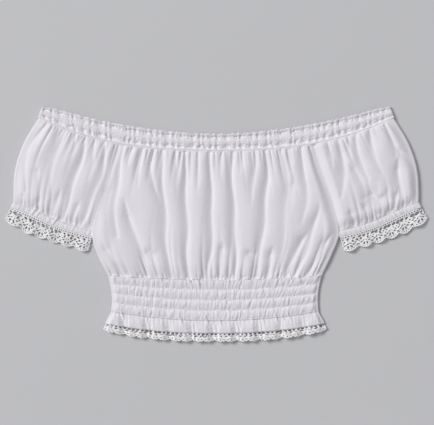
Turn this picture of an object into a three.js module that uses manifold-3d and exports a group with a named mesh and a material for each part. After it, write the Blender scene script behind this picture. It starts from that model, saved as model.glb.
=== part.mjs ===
// Cropped off-shoulder dirndl blouse of white cotton, laid flat on a surface with its front up.
// Millimetres. X runs across the blouse, Y from hem to neckline, and Z up from the surface it lies on.
// The back layers lie flat on the surface and the front layers lie on them, raised into soft folds.
// Side 1 is the sleeve on +X, the wearer's left, and side -1 is its partner.
import * as THREE from 'three';
import { mergeVertices } from 'three/addons/utils/BufferGeometryUtils.js';
import Module from 'manifold-3d';

// Walls and levels
const GAP = 0.3;
const BACK_WALL = 1.5;
const FRONT_WALL = 2;
const FRONT_FLOOR = BACK_WALL + GAP;
const FRONT_TOP = FRONT_FLOOR + FRONT_WALL;
const LACE_WALL = 1.2;
const BODY_PUFF = 5;
const SLEEVE_PUFF = 5.6;
const FOLD_RADIUS = 3;
const FOLD_INSIDE = 1.4;
const FOLD_HEIGHT = 5.6;

// Neckline: the frilled top edge and the seam under the casing both rise towards the shoulders
const NECK = {
  edgeCentre: 126.2,
  edgeRise: 40,
  edgePower: 1.85,
  edgeHalf: 242,
  cornerFrom: 222,
  cornerDrop: 2.4,
  seamCentre: 103.6,
  seamRise: 46,
  seamPower: 2.6,
  seamHalf: 248,
  waves: 40,
  stepsPerWave: 3,
  edgeRipple: 0.7,
};

// Profile across the neck casing, from the seam to the frilled edge: share of the width, height, ripple
const NECK_PROFILE = [
  { at: 0, height: 4.2, ripple: 0.25 },
  { at: 0.1, height: 5.6, ripple: 0.35 },
  { at: 0.19, height: 4.3, ripple: 0.4 },
  { at: 0.42, height: 6.3, ripple: 0.9 },
  { at: 0.64, height: 4.2, ripple: 0.6 },
  { at: 0.82, height: 5.4, ripple: 1.3 },
  { at: 1, height: 4.8, ripple: 1.8 },
];

// Half widths down the body, from the neck casing to the waist: four steps of raglan seam to the armpit,
// then two of side seam
const RAGLAN_TOP = 137;
const RAGLAN_STEPS = 4;
const BODY_STEPS = 6;
const BODY_EDGE = [
  { y: 82, left: 147, right: 146 },
  { y: 52, left: 156, right: 156.5 },
  { y: 22, left: 165.5, right: 165 },
  { y: -10, left: 172.5, right: 171 },
  { y: -41, left: 165, right: 160.5 },
];

// Outer fold of a sleeve, from the neck casing down to the cuff
const SLEEVE_EDGE = [
  { x: 259, y: 132.5 },
  { x: 268.5, y: 116 },
  { x: 275.5, y: 99 },
  { x: 280.5, y: 82 },
  { x: 283, y: 65 },
  { x: 283.5, y: 48 },
  { x: 283, y: 31 },
];

// Sleeve end from the underarm out to the fold: the gathering seam and the lace tips below it
const CUFF = [
  { seamX: 174, seamY: -9.5, tipX: 179.5, tipY: -39.5 },
  { seamX: 198, seamY: -3, tipX: 205, tipY: -32.5 },
  { seamX: 219, seamY: 4, tipX: 227, tipY: -26 },
  { seamX: 240, seamY: 13, tipX: 249.5, tipY: -18.5 },
  { seamX: 261, seamY: 22.5, tipX: 272, tipY: -9.5 },
  { seamX: 283, seamY: 31, tipX: 298, tipY: 6.5 },
];
const CUFF_STRIP = 8;
const CUFF_CROWN = 0.9;
const CUFF_SCALLOPS = 6;
const CUFF_SCALLOP_DEPTH = 2.6;
const LACE_LIFT = 2.6;

// Waist: stitch rows, their shallow sag at the centre front, and the frill below them. The waist lies a
// little to the wearer's right.
const WAIST = {
  offset: -1.8,
  topHalf: 148,
  topSide: -71.5,
  topCentre: -78,
  narrowHalf: 142.5,
  bottomHalf: 143.5,
  bottomSide: -122,
  bottomCentre: -134.5,
  bands: 4,
  gathers: 41,
  stepsPerGather: 3,
  bandPuff: 2.1,
  gatherRipple: 0.9,
};
const HEM = {
  seamHalf: 152.5,
  seamSide: -138.5,
  seamCentre: -152,
  tipHalf: 156.5,
  tipSide: -147,
  tipCentre: -162.4,
  scallops: 20,
  scallopDepth: 1.4,
  waveHeight: 3.6,
};

// Crests of the hem frill's waves along X, with their half widths
const HEM_WAVES = [
  { x: -141, half: 15 },
  { x: -110, half: 17 },
  { x: -78, half: 15 },
  { x: -47, half: 17 },
  { x: -16, half: 15 },
  { x: 15, half: 16 },
  { x: 47, half: 17 },
  { x: 78, half: 15 },
  { x: 108, half: 16 },
  { x: 139, half: 15 },
];

// Troughs between the folds: head, middle and foot of each, its width, and its depth at those three points
const FRONT_FOLDS = [
  { x0: -128, y0: 110, x1: -140, y1: 48, x2: -138, y2: -15, width: 9, head: 2.5, middle: 3.6, foot: 2 },
  { x0: -116, y0: 110, x1: -121, y1: 95, x2: -123, y2: 83, width: 5.5, head: 3, middle: 2.4, foot: 0.5 },
  { x0: -102, y0: 108, x1: -106, y1: 83, x2: -111, y2: 55, width: 6, head: 3.2, middle: 2.6, foot: 0.4 },
  { x0: -87, y0: 106, x1: -90, y1: 74, x2: -81, y2: 34, width: 6, head: 3.4, middle: 3, foot: 0.5 },
  { x0: -74, y0: 105, x1: -73, y1: 27, x2: -62, y2: -74, width: 7, head: 4, middle: 4.4, foot: 4 },
  { x0: -128, y0: 34, x1: -111, y1: -15, x2: -94, y2: -72, width: 8, head: 1.5, middle: 4.4, foot: 4 },
  { x0: -55, y0: 104, x1: -56, y1: 78, x2: -57, y2: 54, width: 5.5, head: 3.2, middle: 2.6, foot: 0.5 },
  { x0: -41, y0: 104, x1: -42, y1: 20, x2: -38, y2: -74, width: 7, head: 4, middle: 4.4, foot: 4 },
  { x0: -23, y0: 103, x1: -25, y1: 74, x2: -28, y2: 48, width: 6, head: 3, middle: 2.2, foot: 0.4 },
  { x0: -7, y0: 103, x1: -6, y1: 13, x2: -11, y2: -76, width: 7, head: 4, middle: 4.4, foot: 4 },
  { x0: 8, y0: 103, x1: 7, y1: 84, x2: 7, y2: 66, width: 5.5, head: 3, middle: 2.2, foot: 0.4 },
  { x0: 22, y0: 103, x1: 26, y1: 13, x2: 26, y2: -76, width: 7.5, head: 4, middle: 4.8, foot: 4.4 },
  { x0: 34, y0: 103, x1: 35, y1: 88, x2: 35, y2: 74, width: 5, head: 3, middle: 2.2, foot: 0.4 },
  { x0: 8, y0: -24, x1: 7, y1: -46, x2: 8, y2: -76, width: 6, head: 0.5, middle: 3.4, foot: 4 },
  { x0: 53, y0: 104, x1: 53, y1: 64, x2: 50, y2: 27, width: 6, head: 3.2, middle: 3, foot: 0.4 },
  { x0: 68, y0: 105, x1: 70, y1: 24, x2: 53, y2: -74, width: 7.5, head: 4, middle: 4.8, foot: 4 },
  { x0: 80, y0: -31, x1: 75, y1: -52, x2: 70, y2: -74, width: 6.5, head: 0.5, middle: 3.8, foot: 4 },
  { x0: 92, y0: 107, x1: 98, y1: 34, x2: 88, y2: -64, width: 10, head: 3, middle: 2.6, foot: 2 },
  { x0: 104, y0: 108, x1: 105, y1: 94, x2: 106, y2: 80, width: 5, head: 3, middle: 2.2, foot: 0.4 },
  { x0: 118, y0: 110, x1: 125, y1: 52, x2: 122, y2: 4, width: 7.5, head: 3.4, middle: 4, foot: 0.8 },
  { x0: 129, y0: -13, x1: 113, y1: -36, x2: 95, y2: -74, width: 7, head: 1, middle: 4.4, foot: 4 },
  { x0: 142, y0: 27, x1: 134, y1: -17, x2: 110, y2: -74, width: 7, head: 0.8, middle: 3.6, foot: 4 },
  { x0: 163, y0: -14, x1: 148, y1: -38, x2: 128, y2: -72, width: 7, head: 1, middle: 3.6, foot: 4 },
  { x0: -158, y0: -26, x1: -146, y1: -46, x2: -126, y2: -72, width: 7, head: 1, middle: 3, foot: 3.6 },
];

const LEFT_SLEEVE_FOLDS = [
  { x0: -237, y0: 142, x1: -263, y1: 100, x2: -265, y2: 48, width: 5.5, head: 3.2, middle: 3.6, foot: 1.5 },
  { x0: -221, y0: 134, x1: -225, y1: 126, x2: -228, y2: 118, width: 4.5, head: 3, middle: 2, foot: 0.5 },
  { x0: -210, y0: 132, x1: -225, y1: 97, x2: -231, y2: 41, width: 9, head: 3, middle: 3, foot: 1 },
  { x0: -196, y0: 128, x1: -200, y1: 110, x2: -207, y2: 93, width: 5.5, head: 3.4, middle: 2.6, foot: 0.5 },
  { x0: -182, y0: 124, x1: -194, y1: 72, x2: -213, y2: 8, width: 7, head: 3.8, middle: 4.6, foot: 3.6 },
  { x0: -168, y0: 121, x1: -174, y1: 92, x2: -179, y2: 62, width: 5.5, head: 3.4, middle: 3, foot: 0.5 },
  { x0: -154, y0: 118, x1: -165, y1: 57, x2: -190, y2: -4, width: 8, head: 3.4, middle: 4, foot: 4.6 },
  { x0: -217, y0: 48, x1: -224, y1: 28, x2: -231, y2: 8, width: 6, head: 0.8, middle: 3.2, foot: 3.4 },
  { x0: -190, y0: 32, x1: -197, y1: 17, x2: -203, y2: 0, width: 5.5, head: 0.8, middle: 3, foot: 3.2 },
  { x0: -245, y0: 38, x1: -249, y1: 27, x2: -253, y2: 17, width: 5.5, head: 1, middle: 2.6, foot: 3 },
  { x0: -268, y0: 44, x1: -270, y1: 36, x2: -271, y2: 27, width: 5, head: 0.8, middle: 2.2, foot: 2.8 },
  { x0: -247, y0: 78, x1: -249, y1: 71, x2: -249, y2: 64, width: 6, head: 1, middle: 2, foot: 1 },
];

const RIGHT_SLEEVE_FOLDS = [
  { x0: 156, y0: 119, x1: 160, y1: 98, x2: 162, y2: 80, width: 5.5, head: 3.4, middle: 3, foot: 0.5 },
  { x0: 173, y0: 121, x1: 179, y1: 78, x2: 175, y2: 38, width: 8, head: 3.8, middle: 4.6, foot: 1.2 },
  { x0: 186, y0: 125, x1: 188, y1: 108, x2: 189, y2: 92, width: 5, head: 3, middle: 2.4, foot: 0.4 },
  { x0: 195, y0: 128, x1: 203, y1: 92, x2: 213, y2: 62, width: 6.5, head: 3.6, middle: 4.2, foot: 1.6 },
  { x0: 212, y0: 133, x1: 221, y1: 102, x2: 233, y2: 72, width: 6, head: 3.4, middle: 3.6, foot: 0.8 },
  { x0: 190, y0: 75, x1: 202, y1: 61, x2: 211, y2: 36, width: 6.5, head: 1.2, middle: 3.4, foot: 1.4 },
  { x0: 236, y0: 140, x1: 245, y1: 116, x2: 250, y2: 95, width: 5.5, head: 3.6, middle: 3.4, foot: 1 },
  { x0: 249, y0: 107, x1: 260, y1: 98, x2: 270, y2: 89, width: 5, head: 1.5, middle: 2.6, foot: 1 },
  { x0: 254, y0: 92, x1: 258, y1: 62, x2: 264, y2: 28, width: 6.5, head: 1.4, middle: 4.2, foot: 3.4 },
  { x0: 255, y0: 48, x1: 251, y1: 33, x2: 246, y2: 18, width: 5.5, head: 1, middle: 3.2, foot: 3.4 },
  { x0: 217, y0: 50, x1: 220, y1: 44, x2: 223, y2: 37, width: 5, head: 1, middle: 2.4, foot: 1 },
  { x0: 242, y0: 48, x1: 237, y1: 42, x2: 229, y2: 41, width: 5, head: 1, middle: 2.4, foot: 1 },
  { x0: 203, y0: 28, x1: 214, y1: 22, x2: 227, y2: 15, width: 5.5, head: 1, middle: 2.4, foot: 2.6 },
  { x0: 185, y0: 22, x1: 190, y1: 10, x2: 194, y2: -2, width: 5.5, head: 0.8, middle: 2.8, foot: 3.2 },
];

// Grid sizes: columns by rows of each wall
const GRID = {
  front: [56, 14],
  back: [10, 6],
  sleeveFront: 19,
  sleeveFold: 4,
  sleeveBack: 4,
  sleeveRows: 13,
  lace: [30, 2],
  backLace: [24, 1],
  frill: [54, 2],
  hemLace: [80, 1],
  plain: [16, 2],
};

const COTTON = { color: 0xe4e2e7, roughness: 0.85, metalness: 0 };
const LACE = { color: 0xefedf0, roughness: 0.9, metalness: 0 };

// Small helpers
const mix = (a, b, t) => a + (b - a) * t;
const clamp = (t) => Math.min(1, Math.max(0, t));
const ease = (t) => clamp(t) ** 2 * (3 - 2 * clamp(t));
const bell = (distance, width) => Math.exp(-((distance / width) ** 2));
const range = (count) => Array.from({ length: count + 1 }, (_, i) => i / count);

// Plan curves, each a function from 0 to 1 to a point
function spline(points) {
  const curve = new THREE.SplineCurve(points.map(([x, y]) => new THREE.Vector2(x, y)));
  return (t) => curve.getPoint(clamp(t));
}

function arch(half, side, centre, power = 2) {
  return (t) => {
    const x = mix(-half, half, t);
    return new THREE.Vector2(x + WAIST.offset, centre + (side - centre) * Math.abs(x / half) ** power);
  };
}

const neckSeamY = (x) => NECK.seamCentre + NECK.seamRise * Math.abs(x / NECK.seamHalf) ** NECK.seamPower;

function neckEdgeY(x) {
  const corner = ease((Math.abs(x) - NECK.cornerFrom) / (NECK.edgeHalf - NECK.cornerFrom));
  const rise = NECK.edgeRise * Math.abs(x / NECK.edgeHalf) ** NECK.edgePower;
  return NECK.edgeCentre + rise - NECK.cornerDrop * corner;
}

function neckSeam(from, to) {
  return (t) => {
    const x = mix(from, to, t);
    return new THREE.Vector2(x, neckSeamY(x));
  };
}

function bodyEdge(side) {
  const column = side < 0 ? 'left' : 'right';
  return spline([
    [side * RAGLAN_TOP, neckSeamY(RAGLAN_TOP)],
    ...BODY_EDGE.map((row) => [side * row[column], row.y]),
    [side * WAIST.topHalf + WAIST.offset, WAIST.topSide],
  ]);
}

function raglan(side) {
  const edge = bodyEdge(side);
  return (t) => edge((t * RAGLAN_STEPS) / BODY_STEPS);
}

const cuffSeam = (side) => spline(CUFF.map((row) => [side * row.seamX, row.seamY]));
const CUFF_REACH = 1 - FOLD_RADIUS / 112;
const laceTips = (side) => spline(CUFF.map((row) => [side * row.tipX, row.tipY]));

function cuffLine(side, depth) {
  const seam = cuffSeam(side);
  const tips = laceTips(side);
  return (t) => {
    const start = seam(t);
    const down = tips(t).sub(start).normalize();
    return start.addScaledVector(down, depth);
  };
}

// A patch of plan points between four edges: u runs along the top and bottom, v from top to bottom
function patch(top, bottom, first, last) {
  const corners = [top(0), top(1), bottom(0), bottom(1)];
  return (u, v) => {
    const point = new THREE.Vector2();
    point.addScaledVector(top(u), 1 - v).addScaledVector(bottom(u), v);
    point.addScaledVector(first(v), 1 - u).addScaledVector(last(v), u);
    point.addScaledVector(corners[0], -(1 - u) * (1 - v)).addScaledVector(corners[1], -u * (1 - v));
    point.addScaledVector(corners[2], -(1 - u) * v).addScaledVector(corners[3], -u * v);
    return point;
  };
}

const straight = (a, b) => (t) => a.clone().lerp(b, t);

// The same patch drawn in by half a seam gap on every side
function seamed(plan, width, height) {
  const du = GAP / 2 / width;
  const dv = GAP / 2 / height;
  return (u, v) => plan(mix(du, 1 - du, u), mix(dv, 1 - dv, v));
}

// Points of a grid, row by row
function grid(us, vs, place) {
  return vs.map((v) => us.map((u) => place(u, v)));
}

// Triangles of one skin, facing up where u runs along +X and v along -Y
function skin(index, ids, turned) {
  for (let j = 0; j + 1 < ids.length; j += 1) {
    for (let i = 0; i + 1 < ids[j].length; i += 1) {
      const [a, b, c, d] = [ids[j][i], ids[j][i + 1], ids[j + 1][i + 1], ids[j + 1][i]];
      const faces = turned ? [a, c, d, a, b, c] : [a, d, c, a, c, b];
      index.push(...faces);
    }
  }
}

// A rim between two edges that may have different numbers of points
function rim(index, outer, inner) {
  let i = 0;
  let j = 0;
  while (i < outer.length - 1 || j < inner.length - 1) {
    const outerNext = (i + 1) / (outer.length - 1);
    const innerNext = (j + 1) / (inner.length - 1);
    if (j === inner.length - 1 || (i < outer.length - 1 && outerNext <= innerNext)) {
      index.push(outer[i], outer[i + 1], inner[j]);
      i += 1;
    } else {
      index.push(outer[i], inner[j + 1], inner[j]);
      j += 1;
    }
  }
}

const borders = (ids) => [
  ids[0],
  ids.map((row) => row[row.length - 1]),
  [...ids[ids.length - 1]].reverse(),
  ids.map((row) => row[0]).reverse(),
];

// A closed cloth wall between an outer and an inner grid of points
function wall(outer, inner, side = 1) {
  const positions = [];
  const index = [];
  const number = (rows) => rows.map((row) => {
    const ordered = side < 0 ? [...row].reverse() : row;
    return ordered.map((point) => positions.push(...point) / 3 - 1);
  });
  const outerIds = number(outer);
  const innerIds = number(inner);
  skin(index, outerIds, false);
  skin(index, innerIds, true);
  const innerBorders = borders(innerIds);
  borders(outerIds).forEach((edge, k) => rim(index, edge, innerBorders[k]));
  const geometry = new THREE.BufferGeometry();
  geometry.setAttribute('position', new THREE.Float32BufferAttribute(positions, 3));
  geometry.setIndex(index);
  return geometry;
}

function piece(name, geometry, look) {
  geometry.computeVertexNormals();
  const mesh = new THREE.Mesh(geometry, new THREE.MeshStandardMaterial(look));
  mesh.name = name;
  return mesh;
}

// Folds: each trough is a curve through its three points, and what is left of the puff is multiplied up
const FOLD_STEPS = 8;

function traced(folds) {
  return folds.map((fold) => {
    const path = range(FOLD_STEPS).map((t) => {
      const head = 2 * t * t - 3 * t + 1;
      const middle = 4 * t - 4 * t * t;
      const foot = 2 * t * t - t;
      const x = head * fold.x0 + middle * fold.x1 + foot * fold.x2;
      const y = head * fold.y0 + middle * fold.y1 + foot * fold.y2;
      const depth = t < 0.5 ? mix(fold.head, fold.middle, 2 * t) : mix(fold.middle, fold.foot, 2 * t - 1);
      return { x, y, depth };
    });
    return { path, width: fold.width };
  });
}

function troughAt({ path, width }, x, y) {
  let nearest = Infinity;
  let depth = 0;
  for (let k = 0; k + 1 < path.length; k += 1) {
    const [a, b] = [path[k], path[k + 1]];
    const length2 = (b.x - a.x) ** 2 + (b.y - a.y) ** 2;
    const t = clamp(((x - a.x) * (b.x - a.x) + (y - a.y) * (b.y - a.y)) / length2);
    const distance = Math.hypot(x - mix(a.x, b.x, t), y - mix(a.y, b.y, t));
    if (distance < nearest) {
      nearest = distance;
      depth = mix(a.depth, b.depth, t);
    }
  }
  return depth * bell(nearest, width);
}

function folded(folds, puff) {
  const troughs = traced(folds);
  return (x, y) => troughs.reduce((left, trough) => left * (1 - troughAt(trough, x, y) / puff), puff);
}

// How far a wall may puff up, from its share at one edge, over a short run, to its share at the other
const swell = (t, start, end, run) => mix(start, 1, ease(t / run)) * mix(end, 1, ease((1 - t) / run));

function bodyPlan() {
  const bottom = arch(WAIST.topHalf, WAIST.topSide, WAIST.topCentre);
  const top = neckSeam(-RAGLAN_TOP, RAGLAN_TOP);
  return seamed(patch(top, bottom, bodyEdge(-1), bodyEdge(1)), 290, 180);
}

function frontPanel() {
  const plan = bodyPlan();
  const puff = folded(FRONT_FOLDS, BODY_PUFF);
  const place = (lower) => (u, v) => {
    const { x, y } = plan(u, v);
    const rise = puff(x, y) * swell(v, 0.4, 0.3, 0.1) * swell(u, 0.05, 0.05, 0.07);
    return [x, y, FRONT_TOP + rise - lower];
  };
  const us = range(GRID.front[0]);
  const vs = range(GRID.front[1]);
  return wall(grid(us, vs, place(0)), grid(us, vs, place(FRONT_WALL)));
}

// A flat layer that rests on the surface, its underside exactly level
function flatLayer(plan, [columns, rows], height = BACK_WALL) {
  const us = range(columns);
  const vs = range(rows);
  const level = (z) => (u, v) => {
    const { x, y } = plan(u, v);
    return [x, y, z];
  };
  return [grid(us, vs, level(height)), grid(us, vs, level(0))];
}

// A wall folded over at its outer edge: front layer, round fold, then the back layer underneath
function foldedOver(side, plan, edge, frontHeight, rows, frontColumns) {
  const fronts = range(frontColumns);
  const turns = range(GRID.sleeveFold + 1).slice(1, -1);
  const backs = range(GRID.sleeveBack).reverse();
  const middle = FOLD_HEIGHT / 2;
  const layer = (inside) => range(rows).map((v) => {
    const reach = inside ? FOLD_INSIDE : FOLD_RADIUS;
    const bulge = inside ? (FOLD_HEIGHT - FRONT_WALL - BACK_WALL) / 2 : middle;
    const centre = inside ? BACK_WALL + bulge : middle;
    const front = fronts.map((u) => {
      const { x, y } = plan(u, v);
      return [x, y, frontHeight(u, v, x, y) - (inside ? FRONT_WALL : 0)];
    });
    const root = plan(1, v);
    const out = edge(v).sub(root).normalize();
    const fold = turns.map((t) => {
      const [across, up] = [Math.sin(Math.PI * t), Math.cos(Math.PI * t)];
      return [root.x + out.x * reach * across, root.y + out.y * reach * across, centre + bulge * up];
    });
    const back = backs.map((u) => {
      const { x, y } = plan(u, v);
      return [x, y, inside ? BACK_WALL : 0];
    });
    return [...front, ...fold, ...back];
  });
  return wall(layer(false), layer(true), side);
}

// The outer fold drawn in by the fold's radius, square to its own run
function drawnIn(edge, side, distance) {
  return (t) => {
    const step = 0.01;
    const run = edge(Math.min(1, t + step)).sub(edge(Math.max(0, t - step))).normalize();
    return edge(t).add(new THREE.Vector2(run.y, -run.x).multiplyScalar(side * distance));
  };
}

function sleeve(side) {
  const outline = spline([
    [side * NECK.seamHalf, neckSeamY(NECK.seamHalf)],
    ...SLEEVE_EDGE.map((row) => [side * row.x, row.y]),
  ]);
  const inset = drawnIn(outline, side, FOLD_RADIUS);
  const top = neckSeam(side * RAGLAN_TOP, inset(0).x);
  const seam = cuffSeam(side);
  const plan = seamed(patch(top, (t) => seam(t * CUFF_REACH), raglan(side), inset), 110, 120);
  const puff = folded(side < 0 ? LEFT_SLEEVE_FOLDS : RIGHT_SLEEVE_FOLDS, SLEEVE_PUFF);
  const edgeShare = (FOLD_HEIGHT - FRONT_TOP) / SLEEVE_PUFF;
  const height = (u, v, x, y) => {
    const rise = puff(x, y) * swell(v, 0.35, 0.3, 0.14) * mix(0.1, 1, ease(u / 0.14));
    return FRONT_TOP + mix(rise, edgeShare * SLEEVE_PUFF, ease((u - 0.82) / 0.18));
  };
  return foldedOver(side, plan, outline, height, GRID.sleeveRows, GRID.sleeveFront);
}

// The strip's plan ends short of the outline by the fold's radius
function cuffStrip(side) {
  const seam = cuffSeam(side);
  const lower = cuffLine(side, CUFF_STRIP);
  const edge = straight(seam(1), lower(1));
  const plan = seamed((u, v) => straight(seam(u * CUFF_REACH), lower(u * CUFF_REACH))(v), 110, CUFF_STRIP);
  const height = (u, v) => {
    const crown = Math.sin(Math.PI * v) * (1 - ease((u - 0.9) / 0.1));
    return mix(FRONT_TOP + 0.6, FOLD_HEIGHT, ease(u / 0.2)) + CUFF_CROWN * crown;
  };
  return foldedOver(side, plan, edge, height, 2, GRID.sleeveFront);
}

// Cuff lace: a scalloped wall, wavy on the front and level on the back
function lacePlan(side) {
  const upper = cuffLine(side, CUFF_STRIP + 0.5);
  const tips = laceTips(side);
  return (u, v) => {
    const from = upper(u);
    const to = tips(u);
    const notch = 1 - Math.abs(Math.sin(Math.PI * CUFF_SCALLOPS * u));
    const length = from.distanceTo(to);
    return from.lerp(to, v * (1 - (notch * CUFF_SCALLOP_DEPTH * ease((v - 0.5) / 0.5)) / length));
  };
}

function laceWall(side, front) {
  const plan = lacePlan(side);
  const lift = (u, v) => {
    const wave = 0.5 - 0.5 * Math.cos(2 * Math.PI * (CUFF_SCALLOPS - 1) * u + 0.6);
    return front ? FRONT_FLOOR - GAP + LACE_LIFT * wave * ease(v * 1.2) * swell(u, 0.1, 0.1, 0.08) : 0;
  };
  const [columns, rows] = front ? GRID.lace : GRID.backLace;
  const us = range(columns);
  const vs = range(rows);
  const place = (thick) => (u, v) => {
    const { x, y } = plan(u, v);
    return [x, y, lift(u, v) + thick];
  };
  return { plan, geometry: wall(grid(us, vs, place(LACE_WALL)), grid(us, vs, place(0)), side) };
}

const wasm = await Module();
wasm.setup();

function solid(geometry) {
  const bare = geometry.clone();
  bare.deleteAttribute('normal');
  bare.deleteAttribute('uv');
  const merged = mergeVertices(bare, 1e-4);
  return new wasm.Manifold(new wasm.Mesh({
    numProp: 3,
    vertProperties: new Float32Array(merged.attributes.position.array),
    triVerts: new Uint32Array(merged.index.array),
  }));
}

function geometryOf(manifold) {
  const mesh = manifold.getMesh();
  const geometry = new THREE.BufferGeometry();
  geometry.setAttribute('position', new THREE.BufferAttribute(new Float32Array(mesh.vertProperties), 3));
  geometry.setIndex(new THREE.BufferAttribute(new Uint32Array(mesh.triVerts), 1));
  return geometry;
}

// Openwork of one scallop: the three leaf gaps that fan out in it
const GAPS = [
  { u: -0.27, v: 0.68, lean: -0.62, long: 6.6, wide: 3 },
  { u: 0, v: 0.74, lean: 0, long: 6.6, wide: 3 },
  { u: 0.27, v: 0.68, lean: 0.62, long: 6.6, wide: 3 },
];

function leaf(centre, angle, long, wide) {
  const along = new THREE.Vector2(Math.cos(angle), Math.sin(angle));
  const across = new THREE.Vector2(-along.y, along.x);
  const tip = (a, b) => centre.clone().addScaledVector(along, a).addScaledVector(across, b);
  const shape = new THREE.Shape([tip(long / 2, 0), tip(0, wide / 2), tip(-long / 2, 0), tip(0, -wide / 2)]);
  const geometry = new THREE.ExtrudeGeometry(shape, { depth: 20, bevelEnabled: false });
  geometry.translate(0, 0, -5);
  return solid(geometry);
}

function cutLace(side, front) {
  const { plan, geometry } = laceWall(side, front);
  let lace = solid(geometry);
  for (let scallop = 0; scallop < CUFF_SCALLOPS; scallop += 1) {
    GAPS.forEach((gap) => {
      const u = (scallop + 0.5 + gap.u) / CUFF_SCALLOPS;
      if (u < 0.99) {
        const centre = plan(u, gap.v);
        const down = plan(u, gap.v + 0.05).sub(centre);
        const angle = Math.atan2(down.y, down.x) + side * gap.lean;
        lace = lace.subtract(leaf(centre, angle, gap.long, gap.wide));
      }
    });
  }
  return geometryOf(lace);
}

// Neck casing: a puffed band under a frilled header, over a plain inside
function neckPlan() {
  return (u, w) => {
    const seamX = mix(-NECK.seamHalf, NECK.seamHalf, u);
    const edgeX = mix(-NECK.edgeHalf, NECK.edgeHalf, u);
    const seam = new THREE.Vector2(seamX, neckSeamY(seamX) + GAP / 2);
    return seam.lerp(new THREE.Vector2(edgeX, neckEdgeY(edgeX)), w);
  };
}

function neckCasing() {
  const plan = neckPlan();
  const steps = range(NECK.waves * NECK.stepsPerWave);
  const ripple = (u) => Math.cos(2 * Math.PI * NECK.waves * u + 0.9 * Math.sin(2 * Math.PI * 5 * u));
  const outer = [...NECK_PROFILE].reverse().map((row) => steps.map((u) => {
    const { x, y } = plan(u, row.at);
    const settle = ease(u / 0.01) * ease((1 - u) / 0.01);
    const frill = NECK.edgeRipple * row.at ** 4 * ripple(u);
    return [x, y + frill, row.height + row.ripple * ripple(u) * settle];
  }));
  const inner = grid(range(NECK.waves), [1, 0], (u, w) => {
    const { x, y } = plan(u, w);
    return [x, y - w * NECK.edgeRipple, FRONT_FLOOR];
  });
  return wall(outer, inner);
}

// Shirring: puffed bands between stitch rows, finely gathered, over a plain inside
function waistPlan() {
  const top = arch(WAIST.topHalf, WAIST.topSide, WAIST.topCentre);
  const bottom = arch(WAIST.bottomHalf, WAIST.bottomSide, WAIST.bottomCentre);
  const side = (s) => spline([
    [s * WAIST.topHalf + WAIST.offset, WAIST.topSide],
    [s * (WAIST.narrowHalf + 1) + WAIST.offset, mix(WAIST.topSide, WAIST.bottomSide, 0.4)],
    [s * WAIST.narrowHalf + WAIST.offset, mix(WAIST.topSide, WAIST.bottomSide, 0.75)],
    [s * WAIST.bottomHalf + WAIST.offset, WAIST.bottomSide],
  ]);
  return seamed(patch(top, bottom, side(-1), side(1)), 290, 55);
}

function waistShirring() {
  const plan = waistPlan();
  const us = range(WAIST.gathers * WAIST.stepsPerGather);
  const vs = range(WAIST.bands * 2);
  const outer = grid(us, vs, (u, v) => {
    const { x, y } = plan(u, v);
    const band = v * WAIST.bands;
    const puff = Math.sin(Math.PI * (band % 1));
    const drift = 0.9 * Math.sin(2 * Math.PI * 7 * u + 2 * Math.floor(band));
    const gather = Math.cos(2 * Math.PI * WAIST.gathers * u + drift);
    const settle = swell(u, 0, 0, 0.02);
    const rise = WAIST.bandPuff * puff + WAIST.gatherRipple * gather * (0.35 + 0.65 * puff);
    return [x, y, FRONT_TOP + 0.4 + rise * settle];
  });
  const inner = grid(range(22), range(2), (u, v) => {
    const { x, y } = plan(u, v);
    return [x, y, FRONT_FLOOR];
  });
  return wall(outer, inner);
}

// Hem: a frill that flares into waves, and the lace edging that follows them
const hemWave = (x) => HEM_WAVES.reduce((sum, wave) => Math.max(sum, bell(x - wave.x, wave.half * 0.72)), 0);

function hemHeight(x, share) {
  return FRONT_TOP + HEM.waveHeight * hemWave(x) * share;
}

function frillPlan() {
  const top = arch(WAIST.bottomHalf, WAIST.bottomSide, WAIST.bottomCentre);
  const bottom = arch(HEM.seamHalf, HEM.seamSide, HEM.seamCentre, 2.3);
  return seamed((u, v) => straight(top(u), bottom(u))(v), 300, 18);
}

function hemLacePlan() {
  const top = arch(HEM.seamHalf, HEM.seamSide, HEM.seamCentre, 2.3);
  const bottom = arch(HEM.tipHalf, HEM.tipSide, HEM.tipCentre, 2.5);
  return seamed((u, v) => {
    const scallop = HEM.scallopDepth * Math.abs(Math.sin(Math.PI * HEM.scallops * u));
    const point = straight(top(u), bottom(u))(v);
    point.y -= scallop * v * v;
    return point;
  }, 306, 12);
}

function hemWall(plan, [columns, rows], from, to, thick) {
  const us = range(columns);
  const vs = range(rows);
  const place = (lower) => (u, v) => {
    const { x, y } = plan(u, v);
    return [x, y, hemHeight(x, mix(from, to, v)) - lower];
  };
  return wall(grid(us, vs, place(0)), grid(us, vs, place(thick)));
}

const sideName = (side) => (side < 0 ? 'right' : 'left');
const blouse = new THREE.Group();
blouse.add(piece('front_panel', frontPanel(), COTTON));
blouse.add(piece('back_panel', wall(...flatLayer(bodyPlan(), GRID.back)), COTTON));
blouse.add(piece('neck_casing_front', neckCasing(), COTTON));
const backNeck = neckPlan();
blouse.add(piece('neck_casing_back', wall(...flatLayer((u, v) => backNeck(u, 1 - v), [30, 1])), COTTON));
blouse.add(piece('waist_shirring_front', waistShirring(), COTTON));
blouse.add(piece('waist_shirring_back', wall(...flatLayer(waistPlan(), GRID.plain)), COTTON));
blouse.add(piece('hem_frill_front', hemWall(frillPlan(), GRID.frill, 0.25, 1, FRONT_WALL), COTTON));
blouse.add(piece('hem_frill_back', wall(...flatLayer(frillPlan(), GRID.plain)), COTTON));
blouse.add(piece('hem_lace_front', hemWall(hemLacePlan(), GRID.hemLace, 1, 1, LACE_WALL), LACE));
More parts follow.
